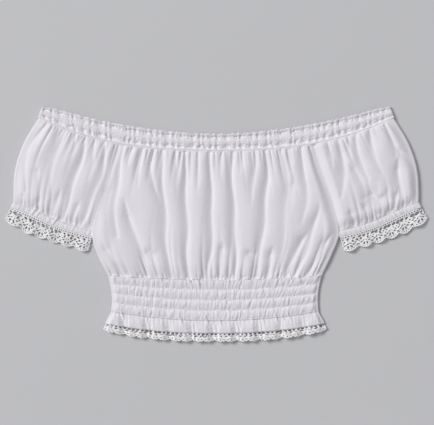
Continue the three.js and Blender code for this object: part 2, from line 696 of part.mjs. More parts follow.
blouse.add(piece('hem_lace_back', wall(...flatLayer(hemLacePlan(), [40, 1], LACE_WALL)), LACE));
[1, -1].forEach((side) => {
  blouse.add(piece(`sleeve_${sideName(side)}`, sleeve(side), COTTON));
  blouse.add(piece(`cuff_strip_${sideName(side)}`, cuffStrip(side), COTTON));
  blouse.add(piece(`cuff_lace_${sideName(side)}_front`, cutLace(side, true), LACE));
  blouse.add(piece(`cuff_lace_${sideName(side)}_back`, cutLace(side, false), LACE));
});

// The origin is under the middle of the whole blouse
const centre = new THREE.Box3().setFromObject(blouse).getCenter(new THREE.Vector3());
blouse.position.set(-centre.x, -centre.y, 0);

export default blouse;
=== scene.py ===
"""A cropped off-shoulder dirndl blouse in white cotton, laid flat with its front up.

Every cloth piece is a thin closed shell over a grid of points worked out with numpy. Lengths in the
tables and shape functions are millimetres in the frame of the CAD: X across the blouse, Y from the hem
to the neckline and Z up from the surface that it lies on. They become metres in the last step. Where
a call gives a seed, it picks the set of random numbers, and every call has a generator of its own.
"""
import math
from collections import namedtuple
from functools import partial

import bpy
import numpy as np
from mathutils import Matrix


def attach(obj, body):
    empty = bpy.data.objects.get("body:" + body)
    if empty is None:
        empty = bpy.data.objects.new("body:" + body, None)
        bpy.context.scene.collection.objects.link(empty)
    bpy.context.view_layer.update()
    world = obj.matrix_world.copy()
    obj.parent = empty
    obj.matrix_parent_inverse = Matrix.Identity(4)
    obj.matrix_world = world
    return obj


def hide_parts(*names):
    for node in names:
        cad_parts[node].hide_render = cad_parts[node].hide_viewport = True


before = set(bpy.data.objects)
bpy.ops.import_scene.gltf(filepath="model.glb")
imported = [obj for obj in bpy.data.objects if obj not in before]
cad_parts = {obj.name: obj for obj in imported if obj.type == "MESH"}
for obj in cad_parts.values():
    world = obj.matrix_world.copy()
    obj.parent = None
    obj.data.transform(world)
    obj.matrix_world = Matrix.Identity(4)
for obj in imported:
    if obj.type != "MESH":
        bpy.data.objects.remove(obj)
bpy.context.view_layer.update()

bl_info = {
    "name": "Dirndl Blouse",
    "version": (1, 0, 0),
    "blender": (4, 5, 0),
    "location": "View3D > Sidebar > Blouse",
    "description": "A cropped cotton dirndl blouse laid flat, with lace cuffs and a smocked waist",
    "category": "Add Mesh",
}

MM = 0.001

# From the tables' origin to the frame's, in millimetres, and the sides of the wearer
MIDDLE = (0.0, -0.42)
SIDES = ((1, "left"), (-1, "right"))

# Levels of the layers: the back lies on the surface and the front lies on the back. Edges roll down to a
# low level, and the panels that meet at a raglan seam with a small radius
BACK_DIP = 1.3
FRONT_TOP = 3.8
FOLD_TOP = 5.6
FOLD_RADIUS = 3.0
SEAM_LOW = 0.9
RAGLAN_LOW = FRONT_TOP - 0.9
RAGLAN_ROLL = 0.35
ROLL_STEPS = 9
FOLD_STEPS = 12

# Neckline: the frilled top edge and the seam under the casing both rise towards the shoulders
NECK_EDGE_CENTRE = 126.2
NECK_EDGE_RISE = 40.0
NECK_EDGE_POWER = 1.85
NECK_EDGE_HALF = 242.0
NECK_CORNER_FROM = 222.0
NECK_CORNER_DROP = 2.4
NECK_SEAM_CENTRE = 103.6
NECK_SEAM_RISE = 46.0
NECK_SEAM_POWER = 2.6
NECK_SEAM_HALF = 248.0
NECK_EDGE_RIPPLE = 1.6

# Profile across the neck casing, from the middle of the welt on its seam to the frilled edge: height,
# how deep the gathers crease it, and how wide they open
Across = namedtuple("Across", "at height depth open")
NECK_PROFILE = [
    Across(0.00, 6.5, 0.3, 0.5),
    Across(0.07, 6.4, 0.5, 0.5),
    Across(0.12, 4.9, 2.0, 2.0),
    Across(0.19, 5.3, 3.8, 2.2),
    Across(0.30, 5.9, 3.1, 1.4),
    Across(0.42, 6.4, 1.6, 0.9),
    Across(0.55, 6.4, 0.9, 0.5),
    Across(0.66, 5.6, 1.5, 0.7),
    Across(0.77, 5.2, 4.0, 1.0),
    Across(0.85, 5.5, 4.0, 1.0),
    Across(0.93, 6.5, 2.4, 0.8),
    Across(1.00, 5.8, 0.8, 0.6),
]
WELT = 1.6

# Half widths down the body, from the neck casing to the waist: raglan seam to the armpit, then side seam
Edge = namedtuple("Edge", "y left right")
RAGLAN_TOP = 137.0
RAGLAN_SHARE = 4 / 6
BODY_EDGE = [
    Edge(82, 147, 146),
    Edge(52, 156, 156.5),
    Edge(22, 165.5, 165),
    Edge(-10, 172.5, 171),
    Edge(-41, 165, 160.5),
]

# Outer fold of a sleeve below the casing
SLEEVE_EDGE = [(259, 132.5), (268.5, 116), (275.5, 99), (280.5, 82), (283, 65), (283.5, 48), (283, 31)]

# Sleeve end from the underarm out to the fold: the gathering seam and the lace tips below it
Cuff = namedtuple("Cuff", "seam_x seam_y tip_x tip_y")
CUFF = [
    Cuff(174, -9.5, 179.5, -39.5),
    Cuff(198, -3, 205, -32.5),
    Cuff(219, 4, 227, -26),
    Cuff(240, 13, 249.5, -18.5),
    Cuff(261, 22.5, 272, -9.5),
    Cuff(283, 31, 298, 6.5),
]
CUFF_WIDE = 112.0
CUFF_STRIP = 8.0
CUFF_REACH = 1 - FOLD_RADIUS / CUFF_WIDE
CUFF_LACE_LONG = 126.0
CUFF_LACE_DEEP = 25.0
CUFF_PAST = 1.04
CUFF_SCALLOPS = 6

# Waist shirring and hem. A curve is its half width, the height of its sides and that of its middle. A
# lace's grid runs past its tips by a share of its depth, to leave room for the picots
WAIST_OFFSET = -1.8
WAIST_TOP = (148.0, -71.5, -78.0)
WAIST_BOTTOM = (143.5, -122.0, -134.5)
WAIST_NARROW = 142.5
WAIST_DEEP = 54.0
WAIST_BANDS = 4
FRILL_DEEP = 18.0
HEM_SEAM = (152.5, -138.5, -152.0)
HEM_TIP = (156.5, -147.0, -162.4)
HEM_SEAM_POWER = 2.3
HEM_TIP_POWER = 2.5
HEM_LACE_LONG = 313.0
HEM_LACE_DEEP = 11.5
HEM_PAST = 1.08
HEM_SCALLOPS = 20

# The frill's pleats: their height, and the middle and half width of each
HEM_WAVE_HEIGHT = 3.8
HEM_WAVES = [(-141, 15), (-110, 17), (-78, 15), (-47, 17), (-16, 15),
             (15, 16), (47, 17), (78, 15), (108, 16), (139, 15)]

# Spacing of the gathers, how many are listed along a seam, and the seeds that pieces share, so that
# their gathers meet at the seam between them
NECK_PITCH = 10.6
TICK_PITCH = 4.6
WAIST_PITCH = 5.5
CUFF_PITCH = 6.2
GATHERS = 240
NECK_SEED, NECK_BACK_SEED = 11, 12
WAIST_SEED, WAIST_BACK_SEED = 23, 24
CUFF_SEED, CUFF_BACK_SEED = 31, 41
WAIST_TUFTS, FRILL_TUFTS, CUFF_TUFTS = 66, 67, 68

# Height of the puffs, how full they are against it, and the length of the panels. The right sleeve, side
# -1, is flatter than the left, and rises sooner from its raglan seam
BODY_PUFF = 5.0
BODY_FULL = 1.35
BODY_LONG = 180.0
SLEEVE_PUFF = 5.6
SLEEVE_FULL = {-1: 1.15, 1: 1.42}
SLEEVE_ROOT = {-1: 0.45, 1: 0.15}
SLEEVE_LONG = 125.0
BACK_WAIST_HALF = 150.0
BACK_SHIFT = 6

# Lengths of the ungathered cloth, over which the weave is drawn
BODY_CUT = 600.0
SLEEVE_CUT = 450.0
NECK_CUT = 1100.0

# How wide the left and the right side of a trough are against an even one
STEEP = 0.6
SLOW = 1.5

# A stitch: the gap to the next one, and the thread's stations along it with its girth at each
STITCH_GAP = 1.1
CAPSULE_SIDES = 6
CAPSULE = ((-0.5, 0.15), (-0.36, 0.8), (0.0, 1.0), (0.36, 0.8), (0.5, 0.15))

# In metres: the twists as they are drawn, a crumple of the cotton, and the grain of the board's paint
LACE_TWIST = 0.001
THREAD_TWIST = 0.0005
CRUMPLE = 1 / 130
GRAIN = 1 / 900

# Stage, in metres. A light is its name, place, size and power, and the view is 434 pixels of 1.4 mm wide
FLOOR_SIZE = 6.0
FLOOR_DROP = 0.0003
LIGHTS = (("key", (-7.4, 4.5, 7.7), 4.5, 944.0), ("fill", (2.5, -1.6, 2.7), 2.6, 12.0))
WORLD_STRENGTH = 0.32
CAMERA_HEIGHT = 1.9
VIEW_ACROSS = 0.6076
VIEW_MIDDLE = (0.0011, 0.0164)
SENSOR = 36.0

# Troughs between the folds: head, middle and foot of each, its width, and its depth at those points
Fold = namedtuple("Fold", "x0 y0 x1 y1 x2 y2 width head middle foot")
FRONT_FOLDS = [
    Fold(-128, 110, -140, 48, -138, -15, 9, 2.5, 4.8, 2),
    Fold(-116, 110, -121, 95, -123, 83, 5.5, 3, 3.2, 0.5),
    Fold(-102, 108, -106, 83, -111, 55, 6, 3.2, 3.6, 0.6),
    Fold(-87, 106, -90, 74, -81, 34, 6, 3.4, 4.2, 0.8),
    Fold(-74, 105, -73, 27, -62, -74, 7, 4, 4.4, 4),
    Fold(-128, 34, -111, -15, -94, -72, 8, 1.5, 4.4, 4),
    Fold(-55, 104, -56, 78, -57, 54, 5.5, 3.2, 2.6, 0.5),
    Fold(-41, 104, -42, 20, -38, -74, 7, 4, 4.4, 4),
    Fold(-23, 103, -25, 74, -28, 48, 6, 3, 2.2, 0.4),
    Fold(-7, 103, -6, 13, -11, -76, 7, 4, 4.4, 4),
    Fold(8, 103, 7, 84, 7, 66, 5.5, 3, 2.2, 0.4),
    Fold(22, 103, 26, 13, 26, -76, 7.5, 4, 4.8, 4.4),
    Fold(34, 103, 35, 88, 35, 74, 5, 3, 2.2, 0.4),
    Fold(8, -24, 7, -46, 8, -76, 6, 0.5, 3.4, 4),
    Fold(53, 104, 53, 64, 50, 27, 6, 3.2, 3, 0.4),
    Fold(68, 105, 70, 24, 53, -74, 7.5, 4, 4.8, 4),
    Fold(80, -31, 75, -52, 70, -74, 6.5, 0.5, 3.8, 4),
    Fold(92, 107, 98, 34, 88, -64, 10, 3, 2.6, 2),
    Fold(104, 108, 105, 94, 106, 80, 5, 3, 2.2, 0.4),
    Fold(118, 110, 125, 52, 122, 4, 7.5, 3.4, 4, 0.8),
    Fold(129, -13, 113, -36, 95, -74, 7, 1, 4.4, 4),
    Fold(142, 27, 134, -17, 110, -74, 7, 0.8, 3.6, 4),
    Fold(163, -14, 148, -38, 128, -72, 7, 1, 3.6, 4),
    Fold(-158, -26, -146, -46, -126, -72, 7, 1, 3, 3.6),
    Fold(-99, -31, -91, -42, -81, -35, 8, 0.3, 3, 0.3),
    Fold(42, -33, 50, -42, 58, -37, 7, 0.3, 2.6, 0.3),
    Fold(-146, 60, -150, 30, -152, 2, 8, 0.6, 2.2, 0.6),
    Fold(108, 64, 104, 44, 106, 20, 8, 0.4, 2.2, 0.4),
]
RIGHT_SLEEVE_FOLDS = [
    Fold(-237, 142, -263, 100, -265, 48, 5.5, 3.2, 3.6, 1.5),
    Fold(-221, 134, -225, 126, -228, 118, 4.5, 3, 2, 0.5),
    Fold(-210, 132, -225, 97, -231, 41, 9, 3, 3, 1),
    Fold(-196, 128, -200, 110, -207, 93, 5.5, 3.4, 2.6, 0.5),
    Fold(-182, 124, -194, 72, -213, 8, 7, 3.8, 4.6, 3.6),
    Fold(-168, 121, -174, 92, -179, 62, 5.5, 3.4, 3, 0.5),
    Fold(-154, 118, -165, 57, -190, -4, 8, 3.4, 4, 4.6),
    Fold(-217, 48, -224, 28, -231, 8, 6, 0.8, 3.2, 3.4),
    Fold(-190, 32, -197, 17, -203, 0, 5.5, 0.8, 3, 3.2),
    Fold(-245, 38, -249, 27, -253, 17, 5.5, 1, 2.6, 3),
    Fold(-268, 44, -270, 36, -271, 27, 5, 0.8, 2.2, 2.8),
    Fold(-247, 78, -249, 71, -249, 64, 6, 1, 2, 1),
]
LEFT_SLEEVE_FOLDS = [
    Fold(156, 119, 160, 98, 162, 80, 5.5, 3.4, 3, 0.5),
    Fold(173, 121, 179, 78, 175, 38, 8, 3.8, 4.6, 1.2),
    Fold(186, 125, 188, 108, 189, 92, 5, 3, 2.4, 0.4),
    Fold(195, 128, 203, 92, 213, 62, 6.5, 3.6, 4.2, 1.6),
    Fold(212, 133, 221, 102, 233, 72, 6, 3.4, 3.6, 0.8),
    Fold(184, 86, 200, 66, 209, 38, 7, 0.3, 3.2, 1),
    Fold(236, 140, 245, 116, 250, 95, 5.5, 3.6, 3.4, 1),
    Fold(249, 107, 260, 98, 270, 89, 5, 1.5, 2.6, 1),
    Fold(254, 92, 258, 62, 264, 28, 6.5, 1.4, 4.2, 3.4),
    Fold(255, 48, 251, 33, 246, 18, 5.5, 1, 3.2, 3.4),
    Fold(210, 60, 226, 36, 242, 53, 9, 0.3, 4.4, 0.3),
    Fold(203, 28, 214, 22, 227, 15, 5.5, 1, 2.4, 2.6),
    Fold(185, 22, 190, 10, 194, -2, 5.5, 0.8, 2.8, 3.2),
]
SLEEVE_FOLDS = {-1: RIGHT_SLEEVE_FOLDS, 1: LEFT_SLEEVE_FOLDS}

# Numbers and curves

def mix(a, b, t):
    """From a at t = 0 to b at t = 1, in proportion."""
    return a + (b - a) * t


def ease(t):
    """Zero below 0, one above 1, and between them a smooth step: three squares of t less two cubes."""
    t = np.clip(t, 0, 1)
    return t * t * (3 - 2 * t)


def bell(distance, width):
    """One at no distance, and falling as the exponential of the square of the distance in widths."""
    return np.exp(-((distance / width) ** 2))


def swell(t, start, end, run):
    """A share that grows from start at t = 0 to one within run, and falls to end so at t = 1."""
    return mix(start, 1, ease(t / run)) * mix(end, 1, ease((1 - t) / run))


def unit(vectors):
    """Vectors divided by their lengths."""
    return vectors / np.linalg.norm(vectors, axis=-1, keepdims=True)


def spline(points):
    """Smooth curve through the points, a cubic between each two, as a function of t from 0 to 1."""
    p = np.array(points, float)
    last = len(p) - 1

    def at(t):
        place = np.clip(t, 0, 1) * last
        k = np.minimum(place.astype(int), last - 1)
        w = (place - k)[..., None]
        before, here, after, beyond = (p[np.clip(k + d, 0, last)] for d in (-1, 0, 1, 2))
        leave = (after - before) / 2
        arrive = (beyond - here) / 2
        cubic = 2 * here - 2 * after + leave + arrive
        square = -3 * here + 3 * after - 2 * leave - arrive
        return cubic * w**3 + square * w**2 + leave * w + here

    return at


def arch(half, side, centre, power=2.0):
    """A level line that sags to centre in the middle and rises to side at its two ends."""
    def at(t):
        x = mix(-half, half, t)
        return np.stack([x + WAIST_OFFSET, centre + (side - centre) * np.abs(x / half) ** power], -1)

    return at


def neck_seam_y(x):
    """The seam under the casing: it rises from its middle with a power of the distance."""
    return NECK_SEAM_CENTRE + NECK_SEAM_RISE * np.abs(x / NECK_SEAM_HALF) ** NECK_SEAM_POWER


def neck_edge_y(x):
    """The frilled edge: it rises in the same way, less a smooth drop at its two corners."""
    corner = ease((np.abs(x) - NECK_CORNER_FROM) / (NECK_EDGE_HALF - NECK_CORNER_FROM))
    rise = NECK_EDGE_RISE * np.abs(x / NECK_EDGE_HALF) ** NECK_EDGE_POWER
    return NECK_EDGE_CENTRE + rise - NECK_CORNER_DROP * corner


def neck_seam(start, end):
    """The casing's seam from one x to another, in plan."""
    def at(t):
        x = mix(start, end, t)
        return np.stack([x, neck_seam_y(x)], -1)

    return at


def body_edge(side):
    """The side of a body panel: the raglan seam down to the armpit, then the side seam."""
    column = "left" if side < 0 else "right"
    rows = [(side * getattr(row, column), row.y) for row in BODY_EDGE]
    top = (side * RAGLAN_TOP, float(neck_seam_y(RAGLAN_TOP)))
    waist = (side * WAIST_TOP[0] + WAIST_OFFSET, WAIST_TOP[1])
    return spline([top, *rows, waist])


def raglan(side):
    """The part of that side above the armpit."""
    edge = body_edge(side)
    return lambda t: edge(t * RAGLAN_SHARE)


def cuff_seam(side):
    """The sleeve's gathering seam, from the armpit out to the fold."""
    armpit = raglan(side)(np.array(1.0))
    return spline([armpit, *[(side * row.seam_x, row.seam_y) for row in CUFF[1:]]])


def lace_tips(side):
    """The line through the tips of the cuff's lace."""
    return spline([(side * row.tip_x, row.tip_y) for row in CUFF])


def cuff_line(side, depth):
    """The cuff's seam moved down by depth towards the lace tips."""
    seam = cuff_seam(side)
    tips = lace_tips(side)
    return lambda t: seam(t) + depth * unit(tips(t) - seam(t))


def patch(top, bottom, first, last):
    """Plan points between four edges, u across and v down: the blends between the opposite edges, added,
    less the blend of the four corners."""
    def at(u, v):
        a, b = u[..., None], v[..., None]
        upper, lower = (mix(*edge(np.array([0.0, 1.0])), a) for edge in (top, bottom))
        return mix(top(u), bottom(u), b) + mix(first(v), last(v), a) - mix(upper, lower, b)

    return at


def between(top, bottom):
    """Plan points on the straight lines from the top curve to the bottom one."""
    return lambda u, v: mix(top(u), bottom(u), v[..., None])


def pinned(plan, top, bottom):
    """A patch whose first and last rows are pulled onto the top and the bottom curve. What they lack is
    added with the sixth power of nearness, so the middle stays as it is."""
    def at(u, v):
        first = (top(u) - plan(u, 0 * v)) * ((1 - v) ** 6)[..., None]
        last = (bottom(u) - plan(u, 0 * v + 1)) * (v**6)[..., None]
        return plan(u, v) + first + last

    return at


def grid(columns, rows):
    """u across and v down, each evenly spaced from 0 to 1."""
    return np.meshgrid(np.linspace(0, 1, columns), np.linspace(0, 1, rows))


def moved_up(plan, by):
    """Plan points moved along Y."""
    return plan + np.stack([0 * by, by], -1)


def lifted(plan, height):
    """Plan points with their heights as Z."""
    return np.concatenate([plan, height[..., None]], -1)


def eased(t, places, values):
    """Values between the places, joined by smooth steps."""
    k = np.clip(np.searchsorted(places, t) - 1, 0, len(places) - 2)
    places, values = np.array(places), np.array(values)
    share = ease((t - places[k]) / (places[k + 1] - places[k]))
    return mix(values[k], values[k + 1], share)


# Folds and gathers

def crease(distance, width):
    """A trough with a narrow rounded bottom and sides that flatten out: one at its bottom, falling by
    the root of one plus the square of the distance in widths."""
    return np.exp(1 - np.sqrt(1 + (distance / width) ** 2))


def trough_share(folds, x, y, puff):
    """What each trough leaves of the puff, multiplied together. A trough is a narrow crease in a broad
    bell, tighter at its head and foot than midway, and its depth changes from head to middle to foot. It
    drops steeply on its left and rises slowly on its right, as folds that lean over do."""
    share = np.ones_like(x)
    x = x + 2.4 * wander(y / 200 + x / 300, 17, 2)
    t = np.linspace(0, 1, 9)
    stations = [0, 0.25, 0.6, 1]
    for fold in folds:
        head, middle, foot = 2 * t * t - 3 * t + 1, 4 * t - 4 * t * t, 2 * t * t - t
        px = head * fold.x0 + middle * fold.x1 + foot * fold.x2
        py = head * fold.y0 + middle * fold.y1 + foot * fold.y2
        depth = np.interp(t, stations, [fold.head, fold.middle * 0.95, fold.middle * 0.68, fold.foot])
        girth = fold.width * np.interp(t, stations, [0.2, 0.34, 0.52, 0.26])
        closest = np.full((4, *x.shape), 1e9)
        for k in range(len(t) - 1):
            dx, dy = px[k + 1] - px[k], py[k + 1] - py[k]
            s = np.clip(((x - px[k]) * dx + (y - py[k]) * dy) / (dx * dx + dy * dy), 0, 1)
            distance = np.hypot(x - px[k] - s * dx, y - py[k] - s * dy)
            lean = ((y - py[k]) * dx - (x - px[k]) * dy) / np.hypot(dx, dy) / (distance + 0.01)
            found = (distance, mix(depth[k], depth[k + 1], s), mix(girth[k], girth[k + 1], s), lean)
            closest = np.where(distance < closest[0], found, closest)
        nearest, deep, width, lean = closest
        width = width * mix(1, np.where(lean > 0, STEEP, SLOW), np.abs(lean))
        trough = mix(crease(nearest, width), bell(nearest, fold.width * 1.7), 0.36)
        share = share * (1 - np.minimum(deep / puff, 1) * trough)
    return share


def wander(t, seed, waves=6):
    """A slow smooth wave between about -1 and 1: a few sines of rising pitch with set random phases."""
    rng = np.random.default_rng(seed)
    turns = [(1.3 * k, rng.random()) for k in range(1, waves + 1)]
    return sum(np.sin(2 * np.pi * (rate * t + phase)) for rate, phase in turns) / waves


def gather_phase(place, pitch, seed):
    """How many gathers lie before each place along a seam, with a pitch that drifts."""
    return place / pitch + 0.9 * wander(place / 300, seed + 1, 9)


def of_gather(phase, seed, least, most):
    """A random value between least and most for each gather, found by its whole number."""
    values = np.random.default_rng(seed).uniform(least, most, GATHERS)
    return values[np.clip(np.floor(phase + GATHERS // 2).astype(int), 0, GATHERS - 1)]


def gathers(place, pitch, seed):
    """Gathers across a seam, from 0 to 1: the size of a cosine, which has round crests and sharp
    troughs, times a height that changes from one gather to the next."""
    phase = gather_phase(place, pitch, seed)
    heights = np.random.default_rng(seed).uniform(0.45, 1.0, GATHERS)
    height = np.interp(phase + GATHERS // 2, np.arange(GATHERS), heights)
    return height * np.sqrt(np.cos(np.pi * phase) ** 2 + 0.01)


def creases(place, pitch, seed, opened, least=0.3):
    """The troughs between gathers, from 0 on the crests to about 1: what the power of the cosine leaves,
    times a depth that changes from one trough to the next. Each is narrower on its right side."""
    phase = gather_phase(place, pitch, seed)
    opened = opened * np.where(phase % 1 < 0.5, 0.55, 1.5)
    cut = 1 - (np.cos(np.pi * phase) ** 2 + 0.004) ** (opened / 2)
    return of_gather(phase, seed + 3, least, 1.0) * cut


def gather_troughs(place, distance, pitch, seed, shortest, longest):
    """Troughs between the gathers that run in from a seam, each fading out as a bell over a length of
    its own and opening a little as it does."""
    reach = of_gather(gather_phase(place, pitch, seed), seed + 7, shortest, longest)
    opened = 0.6 + 0.8 * np.minimum(distance / reach, 1)
    return creases(place, pitch, seed, opened) * bell(distance, reach)


def lattice(x, y, seed):
    """Smooth random heights from -1 to 1: one set at each pair of whole numbers, with easing between."""
    values = np.random.default_rng(seed).uniform(-1, 1, (128, 128))
    i, j = np.floor(x).astype(int), np.floor(y).astype(int)
    s, t = ease(x - i), ease(y - j)
    lower, upper = (mix(values[i % 128, k % 128], values[(i + 1) % 128, k % 128], s) for k in (j, j + 1))
    return mix(lower, upper, t)


def tufts(x, distance, seed):
    """Narrow bumps at uneven places along a seam, running a few millimetres to either side of it: a high
    power of a cosine along the seam, times a bell across it."""
    phase = gather_phase(x - 0.35 * distance, 13.0, seed)
    height = np.maximum(of_gather(phase + 0.5, seed, -0.4, 1.0), 0)
    return height * np.cos(np.pi * phase) ** 14 * bell(distance, 6.5)


def undulation(x, y, seed, length=46.0):
    """Broad soft unevenness of a cloth: the mean of seven crossing sines of random run and pitch."""
    rng = np.random.default_rng(seed)
    total = 0
    for _ in range(7):
        angle, phase = rng.uniform(0, np.pi), rng.uniform(0, 2 * np.pi)
        pitch = length * rng.uniform(0.6, 1.6)
        total = total + np.sin(2 * np.pi * (x * np.cos(angle) + y * np.sin(angle)) / pitch + phase)
    return total / 7


def turned(root, out, radius, low, angles):
    """Columns that turn from the points of root round to the level low: they swing out by the radius
    with the sine of the angle, and go down with its cosine."""
    columns = []
    for angle in angles:
        level = (root[:, 2] + low) / 2 + (root[:, 2] - low) / 2 * np.cos(angle)
        columns.append(np.concatenate([root[:, :2] + out * radius * np.sin(angle), level[:, None]], -1))
    return np.stack(columns, 1)


def rolled(points, radius, low, ends=(0, -1)):
    """The grid with columns added that roll round and down to the level low. An end is 0 for the first
    column and -1 for the last, and the radius may change from row to row."""
    radius = np.broadcast_to(radius, len(points))[:, None]
    for end in ends:
        root = points[:, end]
        out = unit(root[:, :2] - points[:, 3 if end == 0 else -4, :2])
        added = turned(root, out, radius, low, np.linspace(0, np.pi, ROLL_STEPS + 1)[1:])
        points = np.concatenate([added[:, ::-1], points] if end == 0 else [points, added], 1)
    return points


def folded_over(front, back, outline, v):
    """Front layer, a half round fold at its outer edge, and the back layer under it, as one grid."""
    root = front[:, -1]
    out = unit(outline(v) - root[:, :2])
    fold = turned(root, out, FOLD_RADIUS, back[:, -1, 2], np.linspace(0, np.pi, FOLD_STEPS + 1)[1:-1])
    return np.concatenate([front, fold, back[:, ::-1]], 1)


# Forms of the pieces, each a function of u across and v down that gives points in millimetres

def body_plan():
    """A body panel between its casing seam, its waist seam and its two sides."""
    return patch(neck_seam(-RAGLAN_TOP, RAGLAN_TOP), arch(*WAIST_TOP), body_edge(-1), body_edge(1))


def under_neck(place, distance, seed):
    """What the casing's seam takes off the cloth below it: two creases along the welt, close ticks just
    below, and gathers of two sizes that run further down."""
    ticks = gather_troughs(place, distance, TICK_PITCH, seed + 40, 5, 10)
    short = gather_troughs(place, distance, NECK_PITCH * 0.62, seed + 20, 6, 24)
    long = gather_troughs(place, distance, NECK_PITCH * 1.3, seed + 30, 16, 60)
    below = ease((distance - WELT) / 4.2)
    lines = bell(distance - WELT - 1.0, 0.9) + 0.8 * bell(distance - WELT - 3.8, 0.9)
    return lines + below * (2.6 * ticks + 1.8 * short + 2.8 * long)


def over_waist(place, distance, seed):
    """The same over the waist: short gathers, longer ones, and pockets just above the stitch row."""
    short = gather_troughs(place, distance, WAIST_PITCH, seed, 4, 18)
    long = gather_troughs(place, distance, WAIST_PITCH * 1.9, seed + 30, 12, 55)
    pockets = gather_troughs(place, np.abs(distance - 4.5), WAIST_PITCH * 2.1, seed + 50, 2.5, 5)
    return 1.9 * short + 2.9 * long + 3.2 * pockets


def settled(rise):
    """The front's level with a rise over it. A fall counts an eighth, as the back is close below."""
    return FRONT_TOP + np.maximum(rise, 0.12 * rise)


def welt_share(distance):
    """One on the welt of the casing's seam, and zero just below it."""
    return 1 - ease((distance - WELT * 0.7) / 1.7)


def front_form(u, v):
    """Folds between the troughs, less the gathers under the neck casing and over the waist."""
    plan = body_plan()(u, v)
    x, y = plan[..., 0], plan[..., 1]
    below, above = v * BODY_LONG, (1 - v) * BODY_LONG
    puff = BODY_FULL * (BODY_PUFF + 0.6) * trough_share(FRONT_FOLDS, x, y, BODY_PUFF)
    puff = puff * mix(0.35, 1, ease(v / 0.032)) * mix(0.42, 1, ease((1 - v) / 0.13))
    puff = puff * swell(u, 0.45, 0.12, 0.05)
    top = mix(-RAGLAN_TOP, RAGLAN_TOP, u)
    bottom = mix(-WAIST_TOP[0], WAIST_TOP[0], u) + WAIST_OFFSET
    taken = under_neck(top, below, NECK_SEED) + over_waist(bottom, above, WAIST_SEED)
    soft = 0.9 * undulation(x, y * 0.5, 5) * swell(u, 0, 0, 0.1) * swell(v, 0, 0, 0.1)
    z = mix(settled(puff + soft + 0.7 - taken), NECK_PROFILE[0].height, welt_share(below))
    z = mix(z, FRONT_TOP + 1.5, 1 - ease(above / 3)) + 2.8 * tufts(bottom, -above, WAIST_TUFTS)
    return lifted(plan, np.maximum(z, FRONT_TOP - 0.4))


def back_form(u, v):
    """The underside of the back: pressed flat on its ridges, with shallow troughs between them."""
    plan = body_plan()(u, v)
    x, y = plan[..., 0], plan[..., 1]
    share = trough_share(FRONT_FOLDS, BACK_SHIFT - x, y, BODY_PUFF)
    top, bottom = mix(-RAGLAN_TOP, RAGLAN_TOP, u), mix(-BACK_WAIST_HALF, BACK_WAIST_HALF, u)
    neck = gather_troughs(top, v * BODY_LONG, NECK_PITCH * 0.8, NECK_BACK_SEED, 8, 44)
    waist = gather_troughs(bottom, (1 - v) * BODY_LONG, WAIST_PITCH, WAIST_BACK_SEED, 8, 30)
    dip = 0.8 * (1 - share) + 0.9 * neck + 0.9 * waist
    return lifted(plan, np.minimum(dip, BACK_DIP) * swell(u, 0.3, 0.3, 0.05))


def sleeve_outline(side):
    """The outer fold of a sleeve, from the casing down to the cuff."""
    top = (side * NECK_SEAM_HALF, float(neck_seam_y(NECK_SEAM_HALF)))
    return spline([top, *[(side * x, y) for x, y in SLEEVE_EDGE]])


def drawn_in(edge, side, distance):
    """The outer fold drawn in by a distance square to its own run."""
    def at(t):
        step = 0.01
        run = unit(edge(np.minimum(1, t + step)) - edge(np.maximum(0, t - step)))
        return edge(t) + side * distance * np.stack([run[..., 1], -run[..., 0]], -1)

    return at


def sleeve_plan(side):
    """A layer of a sleeve, from its raglan seam out to where the outer fold begins to turn."""
    inset = drawn_in(sleeve_outline(side), side, FOLD_RADIUS)
    top = neck_seam(side * RAGLAN_TOP, float(inset(np.array(0.0))[0]))
    seam = cuff_seam(side)

    def bottom(t):
        return seam(t * CUFF_REACH)

    return pinned(patch(top, bottom, raglan(side), inset), top, bottom)


def strip_level(u):
    """The level of the cuff's seam: on the front, and up to the top of the fold at its outer end."""
    return mix(FRONT_TOP, FOLD_TOP, ease((u - 0.86) / 0.14)) + 0.8 * swell(u, 0, 0, 0.1)


def cuff_tufts(u, distance):
    """The tufts on both sides of the cuff's seam, none at its two ends."""
    return 1.8 * tufts(u * CUFF_WIDE, distance, CUFF_TUFTS) * swell(u, 0, 0, 0.08)


def sleeve_front(side, u, v):
    """Folds between the troughs, less the gathers under the neck casing and over the cuff."""
    plan = sleeve_plan(side)(u, v)
    x, y = plan[..., 0], plan[..., 1]
    below, above = v * SLEEVE_LONG, (1 - v) * SLEEVE_LONG
    puff = SLEEVE_FULL[side] * (SLEEVE_PUFF + 0.4) * trough_share(SLEEVE_FOLDS[side], x, y, SLEEVE_PUFF)
    puff = puff * mix(0.35, 1, ease(v / 0.045)) * mix(0.25, 1, ease((1 - v) / 0.14))
    puff = puff * mix(SLEEVE_ROOT[side], 1, ease(u / 0.09))
    puff = mix(puff, FOLD_TOP - FRONT_TOP, ease((u - 0.88) / 0.12))
    taken = under_neck(side * mix(RAGLAN_TOP, NECK_SEAM_HALF - FOLD_RADIUS, u), below, NECK_SEED)
    taken = 0.8 * taken + 0.8 * over_waist(u * CUFF_WIDE, above, CUFF_SEED + side)
    settle = 1 - ease((u - 0.92) / 0.08)
    soft = 0.8 * undulation(x, y, 8 + side) * swell(v, 0, 0, 0.1) * ease(u / 0.1)
    z = settled(puff + 0.5 + (soft - taken) * settle)
    z = mix(z, NECK_PROFILE[0].height, welt_share(below) * settle)
    z = mix(z, strip_level(u), 1 - ease(above / 4)) + cuff_tufts(u, -above)
    return lifted(plan, np.maximum(z, FRONT_TOP - 0.4))


